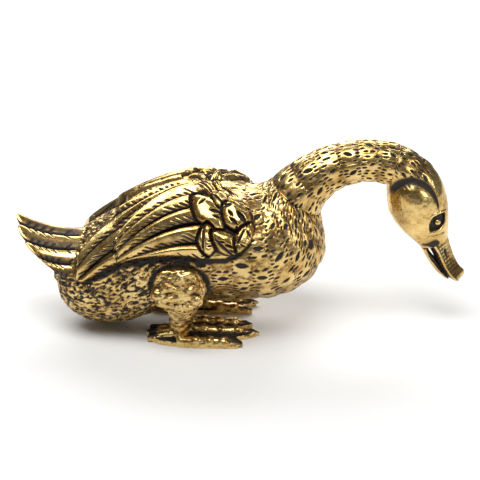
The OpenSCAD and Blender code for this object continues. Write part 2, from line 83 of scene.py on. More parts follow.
def ringGrid(stations, sides, sag=1):
    # Stations are [upper x, upper z, lower x, lower z, half width]; a sag under 1 puts the widest
    # place lower
    a = np.linspace(0, 2 * np.pi, sides, endpoint=False)
    share = ((1 - np.cos(a)) / 2) ** sag
    x = mix(stations[:, 0:1], stations[:, 2:3], share)
    z = mix(stations[:, 1:2], stations[:, 3:4], share)
    y = stations[:, 4:5] * np.sin(a)
    return np.stack([x, y, z], axis=2)


def ringTurn(sides):
    # Degrees down from the top of a ring, on either side
    return np.abs((np.linspace(0, 360, sides, endpoint=False) + 180) % 360 - 180)[None]


def makeMesh(name, points, faces):
    mesh = bpy.data.meshes.new(name)
    mesh.from_pydata(points, [], faces)
    # Faces point outwards, whichever way the rings run round
    form = bmesh.new()
    form.from_mesh(mesh)
    if form.calc_volume(signed=True) < 0:
        mesh.flip_normals()
    form.free()
    mesh.update()
    return mesh


def tubeFaces(rows, sides):
    # Quads between rings, and a fan on each end from a centre point that follows the rings
    r, k = np.meshgrid(np.arange(rows - 1), np.arange(sides), indexing="ij")
    near, far = r * sides + k, r * sides + (k + 1) % sides
    quads = np.stack([near, far, far + sides, near + sides], axis=2).reshape(-1, 4).tolist()
    first, last = rows * sides, rows * sides + 1
    base = (rows - 1) * sides
    fans = [[first, (i + 1) % sides, i] for i in range(sides)]
    fans += [[last, base + i, base + (i + 1) % sides] for i in range(sides)]
    return quads + fans


def withEnds(grid):
    # One row for each point of a grid, and the means of its first and last ring for the centre points
    grid = grid.reshape(*grid.shape[:2], -1)
    return np.concatenate([grid.reshape(-1, grid.shape[2]), [grid[0].mean(0)], [grid[-1].mean(0)]])


def setLayer(mesh, key, values):
    flat = values.ndim == 1
    layer = mesh.attributes.new(key, "FLOAT" if flat else "FLOAT_VECTOR", "POINT")
    layer.data.foreach_set("value" if flat else "vector", values.astype(np.float32).ravel())


def tubeMesh(name, grid, layers=None):
    # A closed mesh through rings; layers hold one value or vector for each point of the grid
    mesh = makeMesh(name, withEnds(grid), tubeFaces(*grid.shape[:2]))
    for key, values in (layers or {}).items():
        setLayer(mesh, key, withEnds(values).squeeze())
    return mesh


def sheetOf(grid, pitch, columns, even):
    # Where each point lies in a sheet of lobes, as rows along it and columns round it, and how large
    # a cell of the sheet is there
    real = np.concatenate([np.zeros((1, grid.shape[1])), np.linalg.norm(np.diff(grid, axis=0), axis=2)])
    real = np.cumsum(real, axis=0)
    reach = mix(real, real.mean(axis=1, keepdims=True), even)
    girth = np.linalg.norm(grid - np.roll(grid, 1, axis=1), axis=2).sum(axis=1, keepdims=True)
    turn = np.arange(grid.shape[1])[None] / grid.shape[1] * columns
    size = np.gradient(real, axis=0) / np.maximum(np.gradient(reach, axis=0), 1e-6) * pitch
    return {"sheet": np.stack(np.broadcast_arrays(reach / pitch + 10, turn, 0 * reach), axis=2),
            "cell": np.stack(np.broadcast_arrays(size, girth / columns, 0 * reach), axis=2)}


class Term:
    # A socket of a node tree that takes part in sums like a number
    def __init__(self, tree, socket):
        self.tree = tree
        self.socket = socket

    def node(self, kind, links=None, out=0, **settings):
        made = self.tree.nodes.new(kind)
        for key, value in settings.items():
            setattr(made, key, value)
        for key, value in (links or {}).items():
            wire(self.tree, made.inputs[key], value)
        return Term(self.tree, made.outputs[out])

    def math(self, operation, *terms):
        return self.node("ShaderNodeMath", dict(enumerate(terms)), operation=operation)

    def vector(self, operation, *terms):
        return self.node("ShaderNodeVectorMath", dict(enumerate(terms)), operation=operation)

    def __add__(self, other):
        return self.math("ADD", self, other)

    def __radd__(self, other):
        return self.math("ADD", other, self)

    def __sub__(self, other):
        return self.math("SUBTRACT", self, other)

    def __rsub__(self, other):
        return self.math("SUBTRACT", other, self)

    def __mul__(self, other):
        return self.math("MULTIPLY", self, other)

    def __rmul__(self, other):
        return self.math("MULTIPLY", other, self)

    def __truediv__(self, other):
        return self.math("DIVIDE", self, other)

    def __rtruediv__(self, other):
        return self.math("DIVIDE", other, self)

    def __neg__(self):
        return self.math("MULTIPLY", self, -1)

    def __pow__(self, other):
        return self.math("POWER", self, other)

    def held(self, low=0, high=1):
        return self.node("ShaderNodeClamp", {"Value": self, "Min": low, "Max": high})

    def eased(self, low, high):
        return self.node("ShaderNodeMapRange", {"Value": self, "From Min": low, "From Max": high},
                         interpolation_type="SMOOTHSTEP")

    def noise(self, scale, detail, rough=0.5):
        # Noise about zero
        return self.node("ShaderNodeTexNoise", {"Vector": self, "Scale": scale, "Detail": detail,
                                                "Roughness": rough}) - 0.5

    def split(self):
        parts = self.node("ShaderNodeSeparateXYZ", {0: self})
        return [Term(self.tree, s) for s in parts.socket.node.outputs]

    def layer(self, name, kind="FLOAT"):
        return self.node("GeometryNodeInputNamedAttribute", {"Name": name}, data_type=kind)

    def stored(self, name, value):
        links = {"Geometry": self, "Name": name, "Value": value}
        return self.node("GeometryNodeStoreNamedAttribute", links, data_type="FLOAT", domain="POINT")


def wire(tree, socket, value):
    if isinstance(value, Term):
        tree.links.new(value.socket, socket)
    else:
        socket.default_value = value


def newTree(name, sizes):
    # A geometry tree with a mesh in and out, and a named input for each size
    tree = bpy.data.node_groups.new(name, "GeometryNodeTree")
    tree.interface.new_socket("Geometry", in_out="INPUT", socket_type="NodeSocketGeometry")
    tree.interface.new_socket("Geometry", in_out="OUTPUT", socket_type="NodeSocketGeometry")
    for key in sizes:
        tree.interface.new_socket(key, in_out="INPUT", socket_type="NodeSocketFloat")
    tree.interface.new_socket("material", in_out="INPUT", socket_type="NodeSocketMaterial")
    entry = tree.nodes.new("NodeGroupInput")
    return tree, {s.name: Term(tree, s) for s in entry.outputs if s.name}


def closeTree(tree, shape, material):
    whole = shape.node("GeometryNodeRealizeInstances", {0: shape})
    whole = whole.node("GeometryNodeSetMaterial", {"Geometry": whole, "Material": material})
    leave = tree.nodes.new("NodeGroupOutput")
    tree.links.new(whole.socket, leave.inputs[0])


def placed(name, data):
    thing = bpy.data.objects.new(name, data)
    bpy.context.scene.collection.objects.link(thing)
    return thing


def applied(holder):
    # The plain mesh that an object's modifiers make; the object itself goes
    graph = bpy.context.evaluated_depsgraph_get()
    made = bpy.data.meshes.new_from_object(holder.evaluated_get(graph), depsgraph=graph)
    bpy.data.objects.remove(holder)
    return made


def grown(name, mesh, tree, values):
    # The mesh that a geometry tree makes of this one
    holder = placed(name, mesh)
    modifier = holder.modifiers.new(name, "NODES")
    modifier.node_group = tree
    for item in tree.interface.items_tree:
        if item.in_out == "INPUT" and item.name in values:
            modifier[item.identifier] = values[item.name]
    holder.update_tag()
    bpy.context.view_layer.update()
    made = applied(holder)
    bpy.data.meshes.remove(mesh)
    return made


def pointsOf(mesh, key="co"):
    # The places of a mesh's points, or their normals
    flat = np.empty(len(mesh.vertices) * 3, np.float32)
    mesh.vertices.foreach_get(key, flat)
    return flat.reshape(-1, 3).astype(float)


def levelled(mesh, low, high):
    # Points below low or above high come to that height
    points = pointsOf(mesh)
    points[:, 2] = np.clip(points[:, 2], low, high)
    mesh.vertices.foreach_set("co", points.astype(np.float32).ravel())
    mesh.update()
    return points


def finished(name, mesh, node):
    # Turns a mesh in millimetres into a piece that stands for a CAD node
    mesh.transform(Matrix.Scale(0.001, 4))
    mesh.polygons.foreach_set("use_smooth", [True] * len(mesh.polygons))
    piece = placed(name, mesh)
    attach(piece, "root")
    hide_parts(node)
    print(name, len(mesh.polygons), "faces")


def finishedPair(name, mesh, node):
    # The right piece, and its mirror image on the left
    other = mesh.copy()
    other.transform(Matrix.Scale(-1, 4, Vector((0, 1, 0))))
    other.flip_normals()
    finished("right_" + name, mesh, "right_" + node)
    finished("left_" + name, other, "left_" + node)


# Brass: worn bright on what stands out, black where the patina attribute says so; that attribute holds both
# patina in hollows and painted shade
brassTones = {"bright": (0.86, 0.64, 0.27, 1), "deep": (0.62, 0.39, 0.12, 1),
              "filmAndShade": (0.27, 0.14, 0.040, 1), "black": (0.018, 0.013, 0.009, 1)}
# Grain and cloud are scales of noise; stain and film give the value of patina and painted shade at which
# each begins and is full
brassWear = {"grain": 2600, "cloud": 420, "stainAndShade": (0.25, 0.70), "filmAndShade": (0.02, 0.45), "filmShare": 0.8,
             "bumpDepth": 0.0001}
slotLooks = {
    "brass_smooth": {"shine": 0.25, "speckle": 0.40, "bump": 0.10},
    "brass_chased": {"shine": 0.27, "speckle": 0.30, "bump": 0.12},
    "brass_feather": {"shine": 0.25, "speckle": 0.25, "bump": 0.12},
    "brass_dark": {"shine": 0.30, "speckle": 0.50, "bump": 0.20},
}


def brass(slot):
    choice = slotLooks[slot]
    look = bpy.data.materials.new(slot)
    look.use_nodes = True
    tree = look.node_tree
    shader = tree.nodes["Principled BSDF"]
    start = Term(tree, None)
    place = start.node("ShaderNodeTexCoord", out="Object")
    patinaAndShade = start.node("ShaderNodeAttribute", out="Fac", attribute_name="patinaAndShade")
    grain = place.noise(brassWear["grain"], 3, 0.6)
    cloud = place.noise(brassWear["cloud"], 4, 0.55)

    def blended(share, under, over):
        return start.node("ShaderNodeMix", {0: share, 6: under, 7: over}, out=2, data_type="RGBA")

    # Stain and film follow the patina attribute, so they darken for painted shade as well as for patina
    stainAndShade = (patinaAndShade + cloud * 0.35 + grain * choice["speckle"]).eased(*brassWear["stainAndShade"])
    filmAndShade = (patinaAndShade + cloud * 0.9).eased(*brassWear["filmAndShade"])
    tone = blended((cloud * 3 + 0.5).held(), brassTones["bright"], brassTones["deep"])
    tone = blended(filmAndShade * brassWear["filmShare"], tone, brassTones["filmAndShade"])
    tone = blended(stainAndShade, tone, brassTones["black"])
    wire(tree, shader.inputs["Base Color"], tone)
    wire(tree, shader.inputs["Metallic"], 1 - stainAndShade * 0.75)
    wire(tree, shader.inputs["Roughness"], choice["shine"] + stainAndShade * 0.3 + grain * 0.25)
    bump = start.node("ShaderNodeBump", {"Strength": choice["bump"], "Distance": brassWear["bumpDepth"],
                                         "Height": grain + cloud})
    wire(tree, shader.inputs["Normal"], bump)
    return look


looks = {slot: brass(slot) for slot in slotLooks}


# Trunk: the stations of the CAD body, in shares of its length, height and half width
trunk = {
    "rump": -24.4, "length": 35.5, "width": 18.4, "back": 19.7, "rumpGap": 0.7, "bellyGap": 3.9,
    "rows": 250, "sides": 340, "domeRings": 12, "domeBulge": 0.45,
    # Lower edge of a wing: places along the trunk, and degrees down from the back
    "wingPlaces": (-21.5, -18.8, -14.7, -10.3, -7.5, -4.4, -2.0, 0.0, 1.2, 1.9),
    "wingEdge": (76, 74, 68, 75, 79, 84, 84, 77, 68, 54),
    # The painted shadow under the wing fades out over these places behind and in front
    "shadeBehind": (-21.6, -21), "shadeBefore": (1.9, 1.2),
    # The painted shadow round the thigh is an oval: x, z and its two half sizes
    "thighShade": (-7.9, 8.7, 3.7, 3.2),
    # Bands cut round the rump
    "bands": (-23.6, -22.7), "bandWidth": 0.11,
}


def along(u):
    return trunk["rump"] + u * trunk["length"]


def up(t):
    return mix(trunk["rumpGap"], trunk["back"], t)


def out(f):
    return f * trunk["width"] / 2


# Neck: its middle line starts at root and is an arc that rises, and then falls, by these degrees
neck = {
    "root": (along(0.89), up(0.905)), "rise": 55.5, "fall": 17, "radius": 11.3,
    "rootDepth": 8.1, "rootWidth": 8.4, "tipDepth": 5.8, "tipWidth": 5.5, "rows": 170, "sides": 250,
    "inset": 0.12,
}


def archAt(t):
    a = mix(neck["rise"], -neck["fall"], t)
    x = neck["root"][0] + neck["radius"] * (sind(neck["rise"]) - sind(a))
    z = neck["root"][1] + neck["radius"] * (cosd(a) - cosd(neck["rise"]))
    return x, z, a


def neckStation(t):
    x, z, a = archAt(t)
    thick = (1 - t) ** 3
    d = mix(neck["tipDepth"], neck["rootDepth"], thick) / 2 - neck["inset"]
    w = mix(neck["tipWidth"], neck["rootWidth"], thick) / 2
    return [x - d * sind(a), z + d * cosd(a), x + d * sind(a), z - d * cosd(a), w]


rumpGap, bellyGap = trunk["rumpGap"], trunk["bellyGap"]
trunkRows = curved([
    [along(0.000), up(0.416), along(0.000), up(0.289), out(0.17)],
    [along(0.023), up(0.537), along(0.023), up(0.158), out(0.48)],
    [along(0.079), up(0.626), along(0.073), up(0.058), out(0.69)],
    [along(0.169), up(0.732), along(0.163), rumpGap, out(0.82)],
    [along(0.293), up(0.858), along(0.265), up(0.011), out(0.91)],
    [along(0.434), up(0.963), along(0.392), mix(rumpGap, bellyGap, 0.6), out(0.98)],
    [along(0.546), up(1.000), along(0.532), bellyGap, out(1.00)],
    [along(0.645), up(0.995), along(0.687), bellyGap + 0.2, out(0.98)],
    [along(0.704), up(0.974), along(0.828), bellyGap + 0.6, out(0.92)],
    [along(0.738), up(0.968), along(0.941), up(0.311), out(0.84)],
    [along(0.758), up(0.974), along(1.000), up(0.489), out(0.72)],
    [along(0.772), up(0.989), along(0.997), up(0.647), out(0.58)],
    neckStation(0)], trunk["rows"])


def skinHalf(x):
    # Half the trunk's width at a place along it
    return np.interp(x, (trunkRows[:, 0] + trunkRows[:, 2]) / 2, trunkRows[:, 4])


def skinDegree(x):
    # Millimetres along the skin for one degree round it
    return skinHalf(x) * np.pi / 180


def skin(x, phi, lift):
    # A point over the trunk's right side: place along it, degrees down from the back, height over the skin
    x, phi, lift = np.broadcast_arrays(x, phi, lift)
    order = np.argsort(trunkRows[:, 0])
    top = np.interp(x, trunkRows[order, 0], trunkRows[order, 1])
    below = np.interp(x, trunkRows[:, 2], trunkRows[:, 3])
    y = -(skinHalf(x) + lift) * sind(phi)
    z = (top + below) / 2 + ((top - below) / 2 + lift) * cosd(phi)
    return np.stack([x, y, z], axis=-1)


# Chisel marks: rows of low lobes, each with a leaf-shaped cut inside a ring of short nicks, on a cast skin
trunkCuts = {"pitch": 2.6, "columns": 12, "leafLength": 0.74, "leafWidth": 0.34, "ring": 1.10,
             "nickGap": 0.46, "nickLength": 0.40, "nickWidth": 0.17, "depth": 0.17, "turn": 1.0,
             "jitter": 0.4, "lobe": 0.20, "rough": 0.50, "lump": 0.12, "shift": 3.0}


def chaseTree():
    tree, given = newTree("chased_surface", trunkCuts)
    start = Term(tree, None)
    place = start.node("GeometryNodeInputPosition")
    normal = start.node("GeometryNodeInputNormal")
    along, across, _ = start.layer("sheet", "FLOAT_VECTOR").split()
    long, wide, _ = start.layer("cell", "FLOAT_VECTOR").split()
    chased, stippled, carvedAndShade = (start.layer(name) for name in ("chased", "stippled", "carvedAndShade"))
    moved = place.vector("ADD", place, given["shift"])

    # Every second row of lobes stands half a column further round
    row = along.math("FLOOR", along)
    shifted = across + row.math("FRACT", row * 0.5)
    column = shifted.math("FLOOR", shifted)
    wrapped = column.math("FLOORED_MODULO", column, given["columns"])

    def chance(number):
        seed = start.node("ShaderNodeCombineXYZ", {0: row, 1: wrapped, 2: number})
        return start.node("ShaderNodeTexWhiteNoise", {"Vector": seed}, out="Value")

    # Lobes shrink where their cells are small
    scale = (long.math("SQRT", long * wide) / given["pitch"]).held(0.55, 1.25)
    a = ((along - row - 0.5) * long + (chance(1) - 0.5) * given["jitter"]) / scale
    b = ((shifted - column - 0.5) * wide + (chance(2) - 0.5) * given["jitter"]) / scale
    lobes = (1 - (a * a + b * b) * 3.2 / (given["pitch"] * given["pitch"])).held()
    angle = (chance(3) - 0.5) * given["turn"]
    cos, sin = angle.math("COSINE", angle), angle.math("SINE", angle)
    size = 0.7 + chance(4) * 0.5
    u = (a * cos + b * sin) / (given["leafLength"] * size)
    v = (b * cos - a * sin) / (given["leafWidth"] * size)
    leaf = (1 - u * u - v.math("ABSOLUTE", v)).held() * 1.6
    step = b / given["nickGap"]
    spot = step.math("FLOOR", step + 0.5) * given["nickGap"]
    ring = given["ring"] * (0.85 + chance(5) * 0.3)
    bow = (ring * ring - spot * spot).held(0, 9)
    u = (a.math("ABSOLUTE", a) - bow.math("SQRT", bow)) / given["nickLength"]
    v = (b - spot) / given["nickWidth"]
    inRing = spot.math("LESS_THAN", spot * spot, ring * ring)
    nick = (1 - u * u - v.math("ABSOLUTE", v)).held() * inRing
    cut = leaf.math("MAXIMUM", leaf, nick) * chased

    # The cast skin: lumps, a grain drawn out along the duck, and pits
    lumps = moved.noise(0.8, 2)
    drawn = moved.vector("MULTIPLY", moved, (0.55, 1, 1))
    grain = drawn.noise(2.4, 3, 0.62)
    pocks = start.node("ShaderNodeTexVoronoi", {"Vector": drawn, "Scale": 2.0}, out="Distance")
    pits = (0.42 - pocks).held() * 1.8 * stippled
    lift = lumps * given["lump"] + grain * given["rough"] * (0.3 + stippled) - cut * given["depth"]
    lift = lift - pits * given["rough"] * 0.8 + (lobes - 0.6) * given["lobe"] * chased
    shape = Term(tree, given["Geometry"].socket)
    offset = normal.node("ShaderNodeVectorMath", {0: normal, 3: lift}, operation="SCALE")
    shape = shape.node("GeometryNodeSetPosition", {"Geometry": shape, "Offset": offset})
    dark = cut * 2.1 + pits * 1.5 + (0.04 - grain) * stippled * 6 + (0.5 - lobes).held() * chased * 0.5
    # The carved layer adds patina in hollows and painted shade
    dark = dark.math("MAXIMUM", dark.held(), carvedAndShade)
    closeTree(tree, shape.stored("patinaAndShade", dark), given["material"])
    return tree


chaser = chaseTree()


def chasedMesh(name, mesh, slot, **values):
    return grown(name, mesh, chaser, {**values, "material": looks[slot]})


def domed(grid, rows, bulge):
    # Rings that close the first end of a grid with a low dome
    centre = grid[0].mean(0)
    outward = centre - grid[3].mean(0)
    outward = outward / np.linalg.norm(outward)
    turns = np.linspace(np.pi / 2, 0, rows, endpoint=False)
    caps = [centre + (grid[0] - centre) * np.cos(t) + outward * bulge * np.sin(t) for t in turns]
    return np.concatenate([caps[1:], grid])


# Body: the trunk is closed at the rump by a small dome, and chased most in front of the thighs
trunkGrid = domed(ringGrid(trunkRows, trunk["sides"]), trunk["domeRings"], trunk["domeBulge"])
x = trunkGrid[:, :, 0]
z = trunkGrid[:, :, 2]
chased = smooth(-9, -2, x)
turn = ringTurn(trunk["sides"])
# Painted shadow: the trunk is darkened round the thigh and along the wing's lower edge
shadeX, shadeZ, shadeLong, shadeTall = trunk["thighShade"]
underThigh = smooth(1.20, 1.02, np.hypot((x - shadeX) / shadeLong, (z - shadeZ) / shadeTall)) * (turn < 150)
below = turn - np.interp(x, trunk["wingPlaces"], trunk["wingEdge"])
underWing = (smooth(7, 3, below) * smooth(-9, -4, below) * smooth(*trunk["shadeBehind"], x)
             * smooth(*trunk["shadeBefore"], x))
shadow = np.maximum(underThigh, underWing)
bands = sum(np.exp(-((x - place) / trunk["bandWidth"]) ** 2) for place in trunk["bands"])
bands = bands * smooth(12.5, 9.5, z)
bodyMesh = tubeMesh("body", trunkGrid, {
    **sheetOf(trunkGrid, trunkCuts["pitch"], trunkCuts["columns"], 0.4), "chased": chased * 0.5 + 0.5,
    "stippled": 1.0 - chased * 0.8, "carvedAndShade": np.maximum(0.7 * bands, 0.75 * shadow)})
bodyMesh = chasedMesh("body", bodyMesh, "brass_dark", **trunkCuts)
finished("body_casting", bodyMesh, "body")

# The neck is chased all over
neckCuts = {**trunkCuts, "pitch": 2.5, "columns": 7, "leafLength": 0.60, "leafWidth": 0.26, "ring": 1.05,
            "rough": 0.05, "lump": 0.10, "lobe": 0.16, "shift": 8.0}
plain = {**neckCuts, "rough": 0.06, "lump": 0.12}
neckRows = np.array([neckStation(t) for t in np.linspace(0, 1, neck["rows"])])
neckGrid = ringGrid(neckRows, neck["sides"])
even = np.ones(neckGrid.shape[:2])
neckMesh = tubeMesh("neck", neckGrid, {**sheetOf(neckGrid, neckCuts["pitch"], neckCuts["columns"], 1),
                                       "chased": even, "stippled": even * 0.1})
neckMesh = chasedMesh("neck", neckMesh, "brass_chased", **neckCuts)
finished("neck_casting", neckMesh, "neck")

# Head: places are along the head's axis and across it, towards the crown
head = {
    "length": 12.1, "depth": 7.9, "width": 7.0, "bow": 49, "rows": 150, "sides": 240,
    # Middles of cheek and eye, in shares of length and depth; the cheek's length, height and swelling
    "cheekPlace": (0.47, 0.05), "cheek": (6.4, 5.0, 0.45),
    "eyePlace": (0.73, 0.30), "socket": (1.50, 0.98), "socketAngle": 117,
    # The seats of the bill's two halves, above and below the axis
    "billSeat": (0.358, 0.132),
    "brow": [(10.0, 0.3), (9.9, 0.95), (10.6, 1.55), (10.9, 2.5)],
    "creaseDepth": 0.32, "socketDepth": 0.5, "lidHeight": 0.12, "browHeight": 0.16, "loreDepth": 0.16,
}
headFall = -neck["fall"] - head["bow"]
neckTip = archAt(1)


def face(a, n):
    return (neckTip[0] + a * cosd(headFall) - n * sind(headFall),
            neckTip[1] + a * sind(headFall) + n * cosd(headFall))


def headStation(crownA, crownN, chinA, chinN, half):
    return [*face(crownA * head["length"], crownN * head["depth"]),
            *face(chinA * head["length"], -chinN * head["depth"]), half * head["width"] / 2]


headRows = curved([
    neckStation(1),
    headStation(0.00, 0.436, 0.289, 0.298, 0.84),
    headStation(0.18, 0.572, 0.391, 0.353, 0.95),
    headStation(0.37, 0.625, 0.484, 0.375, 1.00),
    headStation(0.56, 0.604, 0.618, 0.355, 0.97),
    headStation(0.73, 0.531, 0.764, 0.289, 0.87),
    headStation(0.88, 0.440, 0.891, 0.196, 0.74),
    headStation(1.00, head["billSeat"][0], 1.000, head["billSeat"][1], 0.62)], head["rows"])
headGrid = ringGrid(headRows, head["sides"])


def axisPlaces(points):
    dx, dz = points[..., 0] - neckTip[0], points[..., 2] - neckTip[1]
    return dx * cosd(headFall) + dz * sind(headFall), dz * cosd(headFall) - dx * sind(headFall)


def lineReach(a, n, line):
    # How far each place of the head lies from a line through places
    best = np.full(a.shape, 1e9)
    for (a0, n0), (a1, n1) in zip(line, line[1:]):
        k = np.clip(((a - a0) * (a1 - a0) + (n - n0) * (n1 - n0)) / ((a1 - a0) ** 2 + (n1 - n0) ** 2), 0, 1)
        best = np.minimum(best, np.hypot(a - mix(a0, a1, k), n - mix(n0, n1, k)))
    return best


a, n = axisPlaces(headGrid)
y = headGrid[:, :, 1]
outside = np.minimum(1, np.abs(y))
cheekA, cheekN = head["cheekPlace"][0] * head["length"], head["cheekPlace"][1] * head["depth"]
far = np.hypot((a - cheekA) / head["cheek"][0], (n - cheekN) / head["cheek"][1]) * 2
cheek = np.where(far < 1, head["cheek"][2] * np.cos(far * np.pi / 2), 0)
# The crease is widest towards the neck and runs out at the chin and behind the eye
fromChin = n - cheekN + 0.35 * (cheekA - a)
crease = np.exp(-((far - 1.20) / mix(0.05, 0.19, smooth(7.5, 3.0, a))) ** 2) * smooth(-2.2, 0.3, fromChin)
crease = crease * smooth(8.8, 5.8, a)
eyeA, eyeN = head["eyePlace"][0] * head["length"], head["eyePlace"][1] * head["depth"]
slant = head["socketAngle"]
eu = ((a - eyeA) * cosd(slant) + (n - eyeN) * sind(slant)) / head["socket"][0]
ev = ((n - eyeN) * cosd(slant) - (a - eyeA) * sind(slant)) / head["socket"][1]
almond = eu ** 2 + np.abs(ev)
socket = smooth(1.08, 0.84, almond)
lid = np.exp(-((almond - 1.35) / 0.20) ** 2)
brow = np.exp(-(lineReach(a, n, head["brow"]) / 0.22) ** 2)
# The lore is the hollow between the bill and the brow
lore = smooth(1.2, 0.6, np.hypot((a - 11.5 - 0.15 * n) / 0.55, (n - 0.6) / 1.25)
             + 0.2 * np.sin(3.4 * n + 1.2 * a)) * (1 - brow)
headGrid[:, :, 1] += np.sign(y) * outside * (
    cheek - head["creaseDepth"] * crease - head["socketDepth"] * socket + head["lidHeight"] * lid
    + head["browHeight"] * brow - head["loreDepth"] * lore)
toNeck = smooth(0.35, 0.05, a / head["length"]) * smooth(-0.2, 0.2, n / head["depth"])
hollows = np.clip(0.95 * crease + 0.7 * lore - 0.8 * brow + 1.5 * socket, 0, 1)
hollows = hollows * smooth(0.3, 0.8, np.abs(y))
headMesh = tubeMesh("head", headGrid, {**sheetOf(headGrid, neckCuts["pitch"], neckCuts["columns"], 1),
                                       "chased": toNeck, "stippled": 0.2 + 0 * a, "carvedAndShade": hollows})
headMesh = chasedMesh("head", headMesh, "brass_smooth", **plain)
finished("head_casting", headMesh, "head")

# Bill: two open halves with a worn rim
bill = {"upper": 6.33, "lower": 5.6, "width": 4.4, "upperDepth": 2.65, "lowerDepth": 0.75,
        "rows": 90, "sides": 96}
seatTop, seatLow = head["billSeat"][0] * head["depth"], -head["billSeat"][1] * head["depth"]


def billStation(a, top, low, half):
    return [*face(head["length"] + a, top), *face(head["length"] + a, low), half * bill["width"] / 2]


def billRows(length, seat, deep, shares):
    # Each share is [place, top, low, half width]
    return curved([billStation(u * length, seat + top * deep, seat + low * deep, half)
                   for u, top, low, half in shares], bill["rows"])


upperRows = billRows(bill["upper"], seatTop, bill["upperDepth"], [
    (0, 0, -1, 0.90), (0.22, -0.08, -0.90, 0.92), (0.50, -0.12, -0.88, 0.96), (0.72, -0.08, -0.78, 1.00),
    (0.86, 0.04, -0.68, 0.94), (0.94, 0.00, -0.58, 0.75), (0.98, -0.12, -0.48, 0.46),
    (1.00, -0.26, -0.36, 0.14)])
lowerRows = billRows(bill["lower"], seatLow, bill["lowerDepth"], [
    (0, 1, 0, 0.82), (0.27, 1.00, 0.14, 0.84), (0.46, 1.36, 0.32, 0.85), (0.68, 1.78, 0.76, 0.84),
    (0.86, 2.24, 1.32, 0.72), (0.96, 2.40, 1.76, 0.50), (1.00, 2.38, 2.04, 0.24)])


def billPiece(name, grid, sink, raised, carvedAndShade):
    # The side is pushed out where it is raised, and the top is sunk
    lay = np.ones(grid.shape[:2])
    grid[:, :, 1] *= 1 + 0.05 * raised
    grid[:, :, 0] += sink * sind(headFall)
    grid[:, :, 2] -= sink * cosd(headFall)
    made = tubeMesh(name, grid, {"stippled": 0.15 * lay, "carvedAndShade": carvedAndShade})
    made = chasedMesh(name, made, "brass_smooth", **{**plain, "lump": 0.05})
    finished(name + "_casting", made, name)


turn = ringTurn(bill["sides"])
u = np.linspace(0, 1, bill["rows"])[:, None]
lip = np.exp(-((turn - 84) / 13) ** 2)
slope = smooth(10, 26, turn) * smooth(72, 58, turn) * smooth(1.0, 0.86, u)
ribs = 0.5 + 0.5 * np.sin(u * 36 + turn / 7) * np.sin(u * 61 - turn / 11 + 1)
slit = np.exp(-((turn - 30) / 8) ** 2 - ((u - 0.24) / 0.07) ** 2)
ledge = np.exp(-((turn - 68) / 5) ** 2) * smooth(0.98, 0.9, u)
palate = smooth(112, 150, turn) * np.sin(np.pi * np.clip(u * 1.15 + 0.1, 0, 1)) ** 0.7
# The upper bill's underside, where it faces the lower bill, is painted dark as shade
billPiece("upper_bill", ringGrid(upperRows, bill["sides"], 0.4),
          (0.12 + 0.07 * ribs) * slope + 0.2 * slit + 0.1 * ledge + 0.42 * palate, lip,
          np.clip(slope * (0.05 + 0.5 * ribs) + slit + 0.8 * ledge + smooth(104, 122, turn), 0, 1))
# The lower bill's top lies under the upper bill; it is sunk and painted dark as shade
trough = smooth(66, 44, turn) * smooth(1.0, 0.9, u)
billPiece("lower_bill", ringGrid(lowerRows, bill["sides"], 2), 0.30 * trough, lip, trough + 0 * lip)

# Eyes: beads in their sockets; side is a share of the head's width
eye = {"radius": 0.45, "side": 0.40, "sink": 0.4, "rows": 26, "sides": 40}
eyeX, eyeZ = face(eyeA, eyeN)
eyeTurns = np.linspace(0, 2 * np.pi, eye["sides"], endpoint=False)
eyeRows = []
for t in np.linspace(0.02, 0.98, eye["rows"]) * np.pi:
    r, y = eye["radius"] * np.sin(t), eye["radius"] * np.cos(t)
    y = y - eye["side"] * head["width"] + eye["sink"]
    eyeRows.append([[eyeX + r * np.cos(k), y, eyeZ + r * np.sin(k)] for k in eyeTurns])
eyeMesh = chasedMesh("eye", tubeMesh("eye", np.array(eyeRows)), "brass_smooth", **{**plain, "lump": 0.0})
finishedPair("eye_bead", eyeMesh, "eye")

# Wing: feathers as heights over the trunk's skin, drawn in places along it and degrees down from the back
wing = {
    "shoulder": 1.9, "length": 23.4, "thickness": 0.8, "feather": 2.6, "crown": 0.8,
    "rows": 360, "columns": 230, "under": 24,
    # How much patina a cut and a pit take
    "cutShade": 1.9, "pitShade": 2.8,
}
# The wing's outline: share of its length from the shoulder, upper and lower edge in degrees
wingEdge = np.array([
    [0.00, 46, 54], [0.03, 33, 68], [0.08, 22, 77], [0.165, 8, 84], [0.27, 4, 85], [0.40, 3, 79],
    [0.52, 3, 75], [0.62, 3, 71], [0.71, 5, 68], [0.80, 18, 69], [0.885, 27, 74], [0.95, 34, 79],
    [1.00, 52, 76]])
# A feather is share and degrees at its root, its bend and its tip, and its width at root and tip
flight = [
    [0.28, 5, 0.52, 5, 0.73, 8, 0.42, 0.30], [0.29, 11, 0.55, 10, 0.80, 17, 0.42, 0.32],
    [0.31, 16, 0.57, 15, 0.77, 30, 0.36, 0.28],
    [0.33, 20, 0.59, 20, 0.755, 46, 0.77, 0.42],
    [0.33, 32, 0.59, 33, 0.755, 53, 0.77, 0.42],
    [0.33, 45, 0.59, 46, 0.745, 60, 0.85, 0.46],
    [0.30, 61, 0.57, 59, 0.735, 66, 0.96, 0.50],
    [0.29, 77, 0.55, 71, 0.730, 70, 0.92, 0.46]]
primaries = [
    [0.46, 8, 0.80, 11, 0.955, 33, 0.45, 0.36], [0.46, 18, 0.80, 18, 0.985, 44, 0.50, 0.36],
    [0.63, 25, 0.93, 27, 1.005, 62, 1.00, 0.46],
    [0.70, 43, 0.90, 46, 1.000, 73, 1.00, 0.46],
    [0.70, 64, 0.86, 62, 0.965, 79, 0.92, 0.50]]
# Height of a feather across it, from the upper edge over the shaft to the lower edge
vane = np.array([[-1.0, 0.0], [-0.88, 0.55], [-0.65, 0.95], [-0.4, 1.0], [-0.1, 0.85], [0.4, 0.58],
                 [0.8, 0.36], [1.0, 0.0]])
